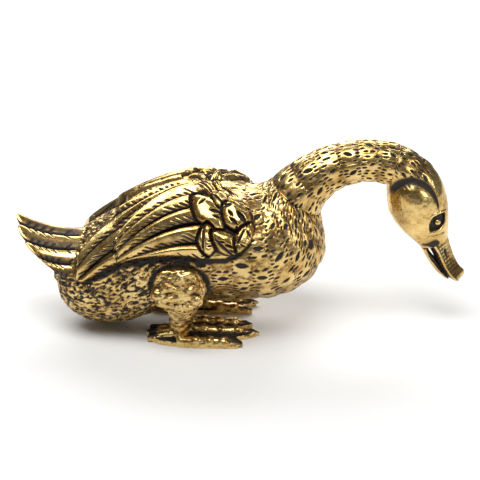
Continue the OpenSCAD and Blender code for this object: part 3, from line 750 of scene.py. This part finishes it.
# A petal of the shoulder is [x, degrees, half length, heading, half width, height over the trunk]
petals = [
    [-4.2, 43, 3.3, 54, 1.80, 1.95], [-2.2, 31, 2.1, 47, 1.35, 1.35], [1.2, 50, 2.0, 80, 0.85, 1.10],
    [-0.5, 46, 2.5, 50, 1.95, 1.80], [-4.2, 66, 2.2, 87, 1.40, 1.85], [-1.8, 69, 2.5, 38, 1.50, 1.75],
    [0.5, 64, 2.3, 112, 1.35, 1.50], [0.1, 33, 2.0, 26, 1.05, 0.90], [-4.6, 14, 2.3, 48, 1.25, 1.50],
    [-1.6, 18, 2.5, 49, 1.25, 0.80], [0.3, 20, 1.6, 51, 0.85, 0.50], [-3.2, 8, 2.0, 60, 0.75, 1.20],
    [-6.0, 6, 1.6, 0, 0.75, 1.30]]
# Petals from this one on lie on the back and carry stripes, and these two have cuts in place of a crease
striped = 8
pitted = (0, 3)
# A petal's height at its rim, how it rises from there, how deep its crease is, and how dark its edge
petalForms = {"shoulder": {"rim": 0.65, "sharp": 4.5, "swell": 0.6, "crease": 0.15, "edge": 1},
              "back": {"rim": 0.2, "sharp": 2.0, "swell": 0.85, "crease": 0.12, "edge": 0.5}}
# A cut is [x, degrees, half length, heading, half width, depth]
petalCuts = [
    [0.1, 47, 1.15, 52, 0.38, 0.60], [-0.9, 51, 0.80, 40, 0.26, 0.45], [-3.0, 39, 0.69, 40, 0.29, 0.45],
    [-3.2, 44, 0.92, 10, 0.38, 0.45], [-4.4, 27, 0.69, 0, 0.20, 0.35], [-4.9, 36, 0.69, -35, 0.25, 0.40],
    [-0.5, 58, 0.69, 85, 0.29, 0.40], [-3.0, 49, 0.69, 20, 0.23, 0.40], [-1.3, 45, 0.57, 50, 0.22, 0.40],
    [-2.0, 36, 0.57, 40, 0.22, 0.35], [-1.6, 38, 0.86, -25, 0.35, 0.45], [-1.8, 18, 0.92, 28, 0.20, 0.35],
    [-1.3, 21, 0.80, 28, 0.20, 0.35], [-2.2, 15, 0.69, 28, 0.17, 0.30], [-4.9, 12, 0.92, 45, 0.14, 0.30],
    [-4.2, 15, 0.92, 48, 0.14, 0.30], [-3.6, 17, 0.80, 50, 0.14, 0.30], [-3.9, 67, 0.46, -10, 0.17, 0.30],
    [-3.9, 71, 0.46, -10, 0.17, 0.30], [-1.4, 71, 0.80, 20, 0.20, 0.35], [-1.0, 75, 0.69, 25, 0.17, 0.30],
    [-2.4, 68, 0.57, 10, 0.17, 0.30], [1.0, 60, 0.69, 60, 0.17, 0.30], [0.3, 70, 0.69, 30, 0.17, 0.30],
    [0.6, 32, 0.92, 25, 0.14, 0.30], [1.0, 37, 0.69, 30, 0.14, 0.30], [0.5, 18, 0.69, 50, 0.12, 0.25]]
strokes = {"pitch": 0.74, "lean": 36, "depth": 0.15}

shares = np.linspace(0, 1, wing["rows"])
upperEdge = np.interp(shares, wingEdge[:, 0], wingEdge[:, 1])
lowerEdge = np.interp(shares, wingEdge[:, 0], wingEdge[:, 2])
acrossShares = np.linspace(0, 1, wing["columns"])
phi = mix(upperEdge[:, None], lowerEdge[:, None], acrossShares[None])
px = np.repeat((wing["shoulder"] - shares * wing["length"])[:, None], wing["columns"], axis=1)
perDegree = skinDegree(px)


def featherField(feather, base):
    # Height of one feather over each point of the wing, and how far along and across it the point lies
    root, rootPhi, bend, bendPhi, tip, tipPhi, rootWidth, tipWidth = feather
    t = np.linspace(0, 1, 60)
    cx = wing["shoulder"] - wing["length"] * (root * (1 - t) ** 2 + 2 * bend * t * (1 - t) + tip * t ** 2)
    cp = rootPhi * (1 - t) ** 2 + 2 * bendPhi * t * (1 - t) + tipPhi * t ** 2
    best = np.full(px.shape, 1e9)
    at, side = np.zeros(px.shape), np.zeros(px.shape)
    for i in range(len(t) - 1):
        sx, sp = cx[i + 1] - cx[i], (cp[i + 1] - cp[i]) * perDegree
        ox, op = px - cx[i], (phi - cp[i]) * perDegree
        size = sx * sx + sp * sp
        k = np.clip((ox * sx + op * sp) / size, 0, 1)
        gx, gp = ox - k * sx, op - k * sp
        d = np.hypot(gx, gp)
        near = d < best
        cross = -(sx * op - sp * ox) / np.sqrt(size)
        best = np.where(near, d, best)
        at = np.where(near, (i + k) / (len(t) - 1), at)
        side = np.where(near, np.where(cross < 0, -d, d), side)
    width = wing["feather"] * mix(rootWidth, tipWidth, at) / 2
    across = side / width
    height = np.interp(across, vane[:, 0], vane[:, 1], left=-1, right=-1)
    length = wing["length"] * (tip - root)
    return np.where(np.abs(across) < 1, base + wing["crown"] * height, -1), across, at * length, side


def strokeField(number, across, reach, side):
    # Slanted cuts that run from a feather's slope into the groove below it
    lean = math.radians(strokes["lean"])
    phase = (reach * math.sin(lean) + side * math.cos(lean)) / (strokes["pitch"] * math.sin(lean))
    turn = np.floor(phase)
    hue = scattered(turn * 12.9898 + number * 78.233)
    begin = mix(-0.15, 0.60, hue) - 0.1 * (number > 3)
    pulse = np.exp(-((phase - turn - 0.5) / 0.17) ** 2)
    return pulse * smooth(begin, begin + 0.2, across) * (across < 1) * mix(0.4, 1.0, np.modf(hue * 7)[0])


lift = np.full(px.shape, 0.35 * wing["thickness"])
cut = np.zeros(px.shape)
groove = np.zeros(px.shape)
shade = np.zeros(px.shape)
for number, feather in enumerate([*primaries, *flight]):
    base = 0.6 * wing["thickness"] if number < len(primaries) else wing["thickness"]
    field, across, reach, side = featherField(feather, base)
    over = (field > lift - 0.3) & (field > 0)
    cut = np.where(over, strokeField(number, across, reach, side), cut)
    groove = np.where(over, smooth(0.80, 0.94, np.abs(across)), groove)
    # Painted shade darkens the lower half of each feather
    shade = np.where(over, 0.38 * smooth(0.05, 0.6, across), shade)
    lift = np.where(over, np.maximum(field, lift - 0.3), lift)


def ovalReach(x, degrees, long, heading, wide):
    # Where each point of the wing lies in an oval, along and across it, in shares of its half sizes
    turn = math.radians(heading)
    ox, op = px - x, (phi - degrees) * perDegree
    return ((ox * math.cos(turn) + op * math.sin(turn)) / long,
            (op * math.cos(turn) - ox * math.sin(turn)) / wide)


for number, (*oval, crest) in enumerate(petals):
    form = petalForms["shoulder" if number < striped else "back"]
    u, v = ovalReach(*oval)
    r = (np.abs(u) ** 1.5 + np.abs(v) ** 1.5) ** (1 / 1.5)
    line = 0.4 + 0.1 * u - v if number < striped else (v * 2.2 + 0.1 * u) % 1 - 0.5
    crease = np.exp(-(line / 0.08) ** 2) * smooth(0.85, 0.5, np.abs(u)) * (number not in pitted)
    facet = 0.16 * np.abs((u * 1.3 + 0.35 * v + number * 0.37) % 1 - 0.5) + 0.25 * np.abs(v + 0.15)
    dome = np.clip(1 - r ** form["sharp"], 0, 1) ** form["swell"]
    dome = form["rim"] + (crest - form["rim"]) * dome * (1 - facet) - form["crease"] * crease
    inside = r < 1
    beside = (r >= 1) & (r < 1.10)
    top = inside & (dome > lift - 0.25)
    cut = np.where(top, crease, cut)
    groove = np.where(top, form["edge"] * smooth(0.88, 0.97, r), np.where(beside, form["edge"], groove))
    # Painted shade darkens one side of each petal
    shade = np.where(top, 0.25 * smooth(0.1, 0.8, v), shade)
    lift = np.where(inside, np.maximum(dome, np.minimum(lift, 0.9)), lift)
    lift = np.where(beside, np.minimum(lift, 0.7), lift)
pit = np.zeros(px.shape)
for *oval, depth in petalCuts:
    u, v = ovalReach(*oval)
    pit = np.maximum(pit, depth * np.clip(1.6 * (1 - u * u - np.abs(v)), 0, 1))
lift = lift - np.maximum(cut * strokes["depth"], pit)


def blurred(field, times):
    for _ in range(times):
        padded = np.pad(field, 1, mode="edge")
        around = padded[:-2, 1:-1] + padded[2:, 1:-1] + padded[1:-1, :-2] + padded[1:-1, 2:]
        field = (around + 4 * field) / 8
    return field


# The wing thins out over its rim; what lies in a hollow of it gets patina, and the lower half of each
# feather and one side of each petal get painted shade
fromSide = np.minimum(acrossShares, 1 - acrossShares)[None] * (lowerEdge - upperEdge)[:, None] * perDegree
fromEnd = np.minimum(shares, 1 - shares)[:, None] * wing["length"]
lift = blurred(lift, 2)
lift = mix(-0.2, lift, np.sqrt(smooth(-0.05, 0.60, np.minimum(fromSide, fromEnd))))
cavity = blurred(lift, 60) - lift
carvedAndShade = smooth(0.05, 0.20, cavity) + wing["cutShade"] * cut + wing["pitShade"] * pit
carvedAndShade = np.clip(carvedAndShade + blurred(groove, 2) + shade, 0, 1)
topSide = skin(px, phi, lift)
spaced = np.linspace(wing["columns"] - 1, 0, wing["under"]).astype(int)
underSide = skin(px, phi, np.minimum(-0.25, lift - 0.02))[:, spaced]
ringPoints = np.concatenate([topSide, underSide], axis=1)
# The underside, which lies against the trunk, is painted fully dark as shade
wingPatinaAndShade = np.concatenate([carvedAndShade, np.ones((wing["rows"], wing["under"]))], axis=1)
wingMesh = tubeMesh("wing", ringPoints, {"stippled": np.full(wingPatinaAndShade.shape, 0.15), "carvedAndShade": wingPatinaAndShade})
wingMesh = chasedMesh("wing", wingMesh, "brass_feather", **{**plain, "lump": 0.06})
finishedPair("wing_casting", wingMesh, "wing")

# Tail: one feather, repeated in a fan and bent from the rump to the fan's edge
tail = {"reach": 5.0, "height": 15.3, "width": 9.2, "droop": 4.8, "thickness": 1.2, "half": 3.0,
        "fan": 24.5, "rootFan": 19.0, "tilt": 58.0, "dip": 0.72, "rootX": -21.3, "rump": trunk["rump"]}
leafCounts = {"rows": 110, "sides": 90, "barbs": 9}


def featherLeaf():
    # A flat feather, x from root to tip and y across, both as shares, with its shaft and barbs as z
    u = np.linspace(0, 1, leafCounts["rows"])[:, None]
    a = np.linspace(0, 2 * np.pi, leafCounts["sides"], endpoint=False)[None]
    v = np.sign(np.cos(a)) * np.abs(np.cos(a)) ** 0.7
    tip = np.sqrt(np.clip(1 - np.clip((u - 0.90) / 0.102, 0, 1) ** 2, 0.02, 1))
    phase = u * leafCounts["barbs"] - np.abs(v) * 1.1
    hue = scattered(np.floor(phase) * 12.9898)
    barbs = np.exp(-((np.modf(phase + 8)[0] - 0.5) / 0.15) ** 2)
    barbs = barbs * smooth(0.25, 0.5, np.abs(v)) * (hue > 0.3) * smooth(0.95, 0.7, u)
    dome = np.clip(1 - np.abs(v) ** 3.5, 0, 1) ** 0.6
    top = 0.36 * dome - 0.07 * barbs
    z = np.where(np.sin(a) > 0, top, -0.45 * dome) * (0.35 + 0.65 * tip)
    # Painted shade darkens one half of each feather along its length
    lane = 0.55 * smooth(-0.15, 0.15, v) * smooth(0.98, 0.8, u)
    dark = smooth(0.72, 0.88, np.abs(v)) * smooth(1.0, 0.93, u) + 0.9 * barbs + lane
    grid = np.stack([u + 0 * a, v * (0.4 + 0.6 * tip), z], axis=2)
    # The underside of each feather is painted partly dark as shade
    return grid, np.where(np.sin(a) > 0, np.clip(dark, 0, 1), 0.4) + 0 * u


def fanTree():
    tree, given = newTree("feather_fan", [*tail, "rootHalf", "rootMid", "rootRise"])
    start = Term(tree, None)
    # Seven points in one place, each with a feather and its number from the fan's middle
    row = start.node("GeometryNodeMeshLine", {"Count": 2 * int(tail["half"]) + 1})
    origin = start.node("ShaderNodeCombineXYZ")
    row = row.node("GeometryNodeSetPosition", {"Geometry": row, "Position": origin})
    row = row.stored("place", start.node("GeometryNodeInputIndex") - given["half"])
    row = row.node("GeometryNodeInstanceOnPoints", {"Points": row, "Instance": given["Geometry"]})
    fan = row.node("GeometryNodeRealizeInstances", {0: row})
    u, v, w = start.node("GeometryNodeInputPosition").split()
    # Each feather's width is a share of the fan, so that the fan's edge runs on from one to the next
    i = start.layer("place") + v * 0.53
    many = i.math("ABSOLUTE", i)

    def turned(angle):
        angle = i * angle * (math.pi / 180)
        return angle.math("SINE", angle), angle.math("COSINE", angle)

    thick = given["thickness"]
    rootSin, rootCos = turned(given["rootFan"])
    fanSin, fanCos = turned(given["fan"])
    lean = (many / given["half"]) ** 0.45 * given["tilt"] * i.math("SIGN", i) * (math.pi / 180)
    tiltSin, tiltCos = lean.math("SINE", lean), lean.math("COSINE", lean)
    full = given["half"] * given["fan"] * (math.pi / 180)
    rootLift = (0.6 - 0.25 * many) * thick
    root = [given["rootX"] + thick, -((given["rootHalf"] + rootLift) * rootSin),
            given["rootMid"] + (given["rootRise"] + rootLift) * rootCos - given["dip"]]
    tip = [given["rump"] - given["reach"] * fanCos,
           -(given["width"] / 2 * fanSin / full.math("SINE", full)),
           given["height"] - given["droop"] * many / given["half"]]
    dips = [0, 0, given["dip"]]
    bend = [mix(r, t, 0.55) - d for r, t, d in zip(root, tip, dips)]
    pull = [2 * b - 0.5 * (r + t) for r, t, b in zip(root, tip, bend)]
    middle = [r * (1 - u) * (1 - u) + p * 2 * u * (1 - u) + t * u * u for r, p, t in zip(root, pull, tip)]
    place = start.node("ShaderNodeCombineXYZ", {
        0: middle[0], 1: middle[1] - tiltSin * w * thick, 2: middle[2] + tiltCos * w * thick})
    fan = fan.node("GeometryNodeSetPosition", {"Geometry": fan, "Position": place})
    closeTree(tree, fan, given["material"])
    return tree


leafGrid, leafDark = featherLeaf()
leaf = tubeMesh("leaf", leafGrid, {"patinaAndShade": leafDark})
at = np.argmin(np.abs(trunkRows[:, 0] - tail["rootX"]))
rootSize = {"rootHalf": float(np.interp(tail["rootX"], trunkRows[:, 0], trunkRows[:, 4])),
            "rootMid": float(trunkRows[at, 1] + trunkRows[at, 3]) / 2,
            "rootRise": float(trunkRows[at, 1] - trunkRows[at, 3]) / 2}
tailMesh = grown("tail", leaf, fanTree(), {**tail, **rootSize, "material": looks["brass_feather"]})
finished("tail_casting", tailMesh, "tail")

# Legs and feet: round forms melted together, then roughened
limb = {"voxel": 0.10, "melt": 4, "spread": 14, "hollow": (0.01, 0.07)}
legs = {"hip": -7.9, "hipHeight": 8.9, "thigh": (7.3, 6.0, 4.6), "ankle": (-7.9, -6.6, 2.0), "shank": 2.7}
feet = {"length": 15.0, "heel": 4.6, "width": 7.4, "inner": -1.7, "toe": 1.2, "web": 0.7}


def ball(centre, size, rows=14, sides=20):
    t = np.linspace(0.05, np.pi - 0.05, rows)[:, None]
    k = np.linspace(0, 2 * np.pi, sides, endpoint=False)[None]
    unit = np.stack([np.sin(t) * np.cos(k), np.sin(t) * np.sin(k), -np.cos(t) + 0 * k], axis=2)
    return np.array(centre) + unit * np.array(size) / 2


def tube(points, widths, sides=20):
    # A round bar with domed ends through points, each with its own width and height
    points, widths = np.array(points, float), np.array(widths, float)
    path = curved(np.concatenate([points, widths.reshape(len(points), -1)], axis=1), 24)
    middle, size = path[:, :3], path[:, 3:]
    heading = np.gradient(middle, axis=0)
    heading /= np.linalg.norm(heading, axis=1, keepdims=True)
    across = np.cross(heading, [0, 0, 1.0])
    across /= np.maximum(np.linalg.norm(across, axis=1, keepdims=True), 1e-6)
    rise = np.cross(across, heading)
    k = np.linspace(0, 2 * np.pi, sides, endpoint=False)[None, :, None]
    wide, tall = size[:, :1, None] / 2, size[:, -1:, None] / 2
    rings = middle[:, None] + across[:, None] * np.cos(k) * wide + rise[:, None] * np.sin(k) * tall
    first = [middle[0] + (rings[0] - middle[0]) * np.cos(t) - heading[0] * tall[0] * np.sin(t)
             for t in (1.35, 1.0, 0.5)]
    last = [middle[-1] + (rings[-1] - middle[-1]) * np.cos(t) + heading[-1] * tall[-1] * np.sin(t)
            for t in (0.5, 1.0, 1.35)]
    return np.concatenate([np.array(first), rings, np.array(last)])


def melted(name, grids, extra=()):
    # One closed mesh of many overlapping forms
    forms = [(withEnds(grid), tubeFaces(*grid.shape[:2])) for grid in grids]
    points, faces, base = [], [], 0
    for corners, polygons in [*forms, *extra]:
        points.append(np.array(corners))
        faces += [[base + k for k in f] for f in polygons]
        base += len(corners)
    holder = placed(name, makeMesh(name, np.concatenate(points), faces))
    voxels = holder.modifiers.new("voxels", "REMESH")
    voxels.mode = "VOXEL"
    voxels.voxel_size = limb["voxel"]
    relax = holder.modifiers.new("relax", "SMOOTH")
    relax.factor = 0.5
    relax.iterations = limb["melt"]
    return applied(holder)


def cavityOf(mesh, times):
    # How deep each point lies below its surroundings
    points = pointsOf(mesh)
    ends = np.empty(2 * len(mesh.edges), np.int32)
    mesh.edges.foreach_get("vertices", ends)
    one, two = ends[0::2], ends[1::2]
    count = np.bincount(ends, minlength=len(points))[:, None]
    calm = points
    for _ in range(times):
        sums = [np.bincount(one, calm[two, k], len(points)) + np.bincount(two, calm[one, k], len(points))
                for k in range(3)]
        calm = np.stack(sums, axis=1) / count
    return ((calm - points) * pointsOf(mesh, "normal")).sum(axis=1)


# Locks of down lie on the thigh, each as three places [x, z] from the hip
locks = [
    [(-2.9, 0.9), (-1.9, 2.0), (-0.4, 2.3)], [(-0.3, 1.3), (1.2, 2.1), (2.3, 1.0)],
    [(-2.7, -0.6), (-1.3, 0.5), (0.2, 0.1)], [(0.9, -0.2), (2.1, 0.3), (2.9, -0.9)],
    [(-2.3, -1.9), (-1.2, -1.0), (0.3, -1.5)], [(0.9, -2.4), (2.0, -1.5), (2.6, -2.2)],
    [(-0.9, -3.2), (0.3, -2.5), (1.2, -3.6)]]
# Length, height and thickness of the thigh
tl, th, tt = legs["thigh"]
shank = legs["shank"]
hip = np.array([legs["hip"], float(skin(legs["hip"], 100, 0)[1]), legs["hipHeight"]])
ankle = np.array(legs["ankle"])
top = hip + [0.07 * tl, 0.05 * tt, -0.36 * th]
hock = mix(top, ankle, 0.3)
# The leg's level rings are [height, middle x, middle y, half length, half thickness]
levels = curved([
    [hip[2] + 0.47 * th, hip[0] + 0.1, hip[1], 0.07 * tl, 0.10 * tt],
    [hip[2] + 0.42 * th, hip[0] + 0.1, hip[1], 0.23 * tl, 0.26 * tt],
    [hip[2] + 0.29 * th, hip[0] + 0.1, hip[1], 0.37 * tl, 0.37 * tt],
    [hip[2] + 0.07 * th, hip[0], hip[1], 0.46 * tl, 0.42 * tt],
    [hip[2] - 0.17 * th, hip[0], hip[1], 0.46 * tl, 0.44 * tt],
    [mix(hip[2], hock[2], 0.7), *mix(hip, hock, 0.5)[:2], 0.36 * tl, 0.42 * tt],
    [hock[2], *hock[:2], 0.74 * shank, 0.74 * shank],
    [mix(hock[2], ankle[2], 0.55), *mix(hock, ankle, 0.6)[:2], 0.58 * shank, 0.58 * shank],
    [ankle[2], *ankle[:2], 0.52 * shank, 0.52 * shank]], 60)
k = np.linspace(0, 2 * np.pi, 40, endpoint=False)[None]
z, cx, cy, hx, hy = (column[:, None] for column in levels.T)
legForms = [np.stack([cx + hx * np.cos(k), cy - hy * np.sin(k), z + 0 * k], axis=2)]
# Tufts hang round the thigh's lower hem
for a in np.linspace(195, 320, 6):
    tuft = hip + [0.39 * tl * cosd(a), -0.25 * tt, 0.39 * th * sind(a)]
    legForms.append(tube([mix(hip, tuft, 0.3) + [0, -0.14 * tt, 0], tuft], [0.24 * th, 0.30 * th]))


def thighSide(dx, dz):
    # A place on the thigh's outer side, dx and dz from the hip
    return hip + [dx, -0.40 * tt * math.sqrt(max(0.1, 1 - (dx / 3.4) ** 2 - (dz / 3.0) ** 2)), dz]


legForms.extend(tube([thighSide(*knot) for knot in lock], [0.8, 1.1, 0.6]) for lock in locks)
legMesh = melted("leg", legForms)
points = levelled(legMesh, ankle[2] - 0.1, None)
setLayer(legMesh, "stippled", np.full(len(points), 0.45))
setLayer(legMesh, "carvedAndShade", smooth(*limb["hollow"], cavityOf(legMesh, limb["spread"])))
legMesh = chasedMesh("leg", legMesh, "brass_dark", **{**trunkCuts, "rough": 0.42, "lump": 0.45})
finishedPair("leg_casting", legMesh, "leg")


def sole(u, v, z=0.0):
    return np.array([ankle[0] - feet["heel"] + u * feet["length"], feet["inner"] - v * feet["width"], z])


toeT = feet["toe"]
toes = [(sole(0.32, 0.84), sole(0.81, 0.92), 0.10), (sole(0.35, 0.46), sole(0.96, 0.44), 0.40),
        (sole(0.38, 0.14), sole(0.90, 0.08), 0.60)]
footForms = []
for root, end, arch in toes:
    knots = []
    for t in (0.0, 0.25, 0.5, 0.75, 0.95):
        knots.append(mix(root, end, t) + [0, 0, toeT * (0.5 + (1 - t) * arch)])
    footForms.append(tube(knots, [1.15 * toeT, 1.1 * toeT, 1.05 * toeT, 1.0 * toeT, 0.75 * toeT]))
    claw = mix(root, end, 1.05) + [0, 0, 0.35 * toeT]
    footForms.append(tube([knots[-1], claw], [0.75 * toeT, 0.35 * toeT]))
    footForms.append(tube([mix(ankle - [0, 0, 0.8], knots[0], 0.25), knots[0]], [1.6 * toeT, 1.2 * toeT]))
    knuckle = (1.3 * toeT, 1.25 * toeT, 1.15 * toeT)
    footForms.extend(ball(knots[k] + [0, 0, 0.12], knuckle) for k in (1, 2, 3))
footForms.append(tube([ankle - [0, 0, 0.1], ankle - [0, 0, 0.9]], [1.1 * shank, 1.35 * shank]))
# Claws at the heel
for u, v in ((0.04, 0.66), (0.03, 0.42), (0.05, 0.20)):
    claw = sole(u, v, 0.4 * toeT)
    knee = np.array([ankle[0] - 0.8 * toeT, mix(ankle[1], claw[1], 0.6), 0.9 * toeT])
    footForms.append(tube([knee, claw], [1.0 * toeT, 0.7 * toeT]))
# The web is a plate with this outline, in shares of the foot's length and width
outline = [(0.02, 0.42), (0.04, 0.66), (0.13, 0.80), (0.35, 0.94), (0.79, 0.98), (0.85, 0.88), (0.79, 0.68),
           (0.93, 0.52), (0.98, 0.44), (0.93, 0.36), (0.83, 0.24), (0.94, 0.10), (0.90, 0.02), (0.55, 0.01),
           (0.28, 0.05), (0.05, 0.17)]
bottom = [sole(u, v) for u, v in outline]
above = [sole(u, v, feet["web"]) for u, v in outline]
count = len(outline)
webFaces = [list(range(count))[::-1], list(range(count, 2 * count))]
webFaces += [[k, (k + 1) % count, (k + 1) % count + count, k + count] for k in range(count)]
footMesh = melted("foot", footForms, [(bottom + above, webFaces)])
points = levelled(footMesh, 0.0, ankle[2])
raised = smooth(0.1, 0.4, points[:, 2])
sunk = smooth(1.25, 0.95, points[:, 2]) * smooth(0.35, 0.8, pointsOf(footMesh, "normal")[:, 2])
deep = smooth(*limb["hollow"], cavityOf(footMesh, limb["spread"])) * raised
setLayer(footMesh, "stippled", raised * 0.5)
setLayer(footMesh, "carvedAndShade", np.maximum(0.95 * sunk, deep))
footMesh = chasedMesh("foot", footMesh, "brass_dark", **{**trunkCuts, "rough": 0.24, "lump": 0.18})
levelled(footMesh, 0.0, None)
finishedPair("foot_casting", footMesh, "foot")

# Studio: pale floor, soft lamps, and a world that only the camera sees as white
studio = {"floor": (0.86, 0.86, 0.85, 1), "floorSize": 1.6, "floorRough": 0.9, "world": 0.13,
          "distance": 0.2378, "lens": 135, "elevation": 22, "aim": (-0.0001, 0.0, 0.01168)}
bpy.ops.mesh.primitive_plane_add(size=studio["floorSize"], location=(0, 0, 0))
floor = bpy.context.object
floor.name = "floor"
floorLook = bpy.data.materials.new("floor")
floorLook.use_nodes = True
floorLook.node_tree.nodes["Principled BSDF"].inputs["Base Color"].default_value = studio["floor"]
floorLook.node_tree.nodes["Principled BSDF"].inputs["Roughness"].default_value = studio["floorRough"]
floor.data.materials.append(floorLook)

world = bpy.data.worlds.new("studio")
bpy.context.scene.world = world
world.use_nodes = True
sky = world.node_tree.nodes["Background"]
seen = Term(world.node_tree, world.node_tree.nodes.new("ShaderNodeLightPath").outputs["Is Camera Ray"])
wire(world.node_tree, sky.inputs["Strength"], seen * (1 - studio["world"]) + studio["world"])
sky.inputs["Color"].default_value = (1, 1, 1, 1)


def lamp(name, place, size, power):
    light = bpy.data.lights.new(name, "AREA")
    light.shape = "RECTANGLE"
    light.size, light.size_y = size
    light.energy = power
    holder = placed(name, light)
    holder.location = place
    holder.rotation_euler = (Vector((0, 0, 0.01)) - Vector(place)).to_track_quat("-Z", "Y").to_euler()


lamp("key", (-0.06, -0.10, 0.30), (0.30, 0.18), 0.95)
lamp("fill", (0.26, -0.14, 0.14), (0.10, 0.12), 0.18)
lamp("back", (0.00, 0.25, 0.19), (0.34, 0.17), 0.90)

aim = Vector(studio["aim"])
tilt = math.radians(studio["elevation"])
camera = placed("camera", bpy.data.cameras.new("camera"))
camera.data.lens = studio["lens"]
camera.location = aim + Vector((0, -math.cos(tilt), math.sin(tilt))) * studio["distance"]
camera.rotation_euler = (math.pi / 2 - tilt, 0, 0)
camera.data.clip_start = 0.001
bpy.context.scene.camera = camera
bpy.context.scene.view_settings.view_transform = "Standard"
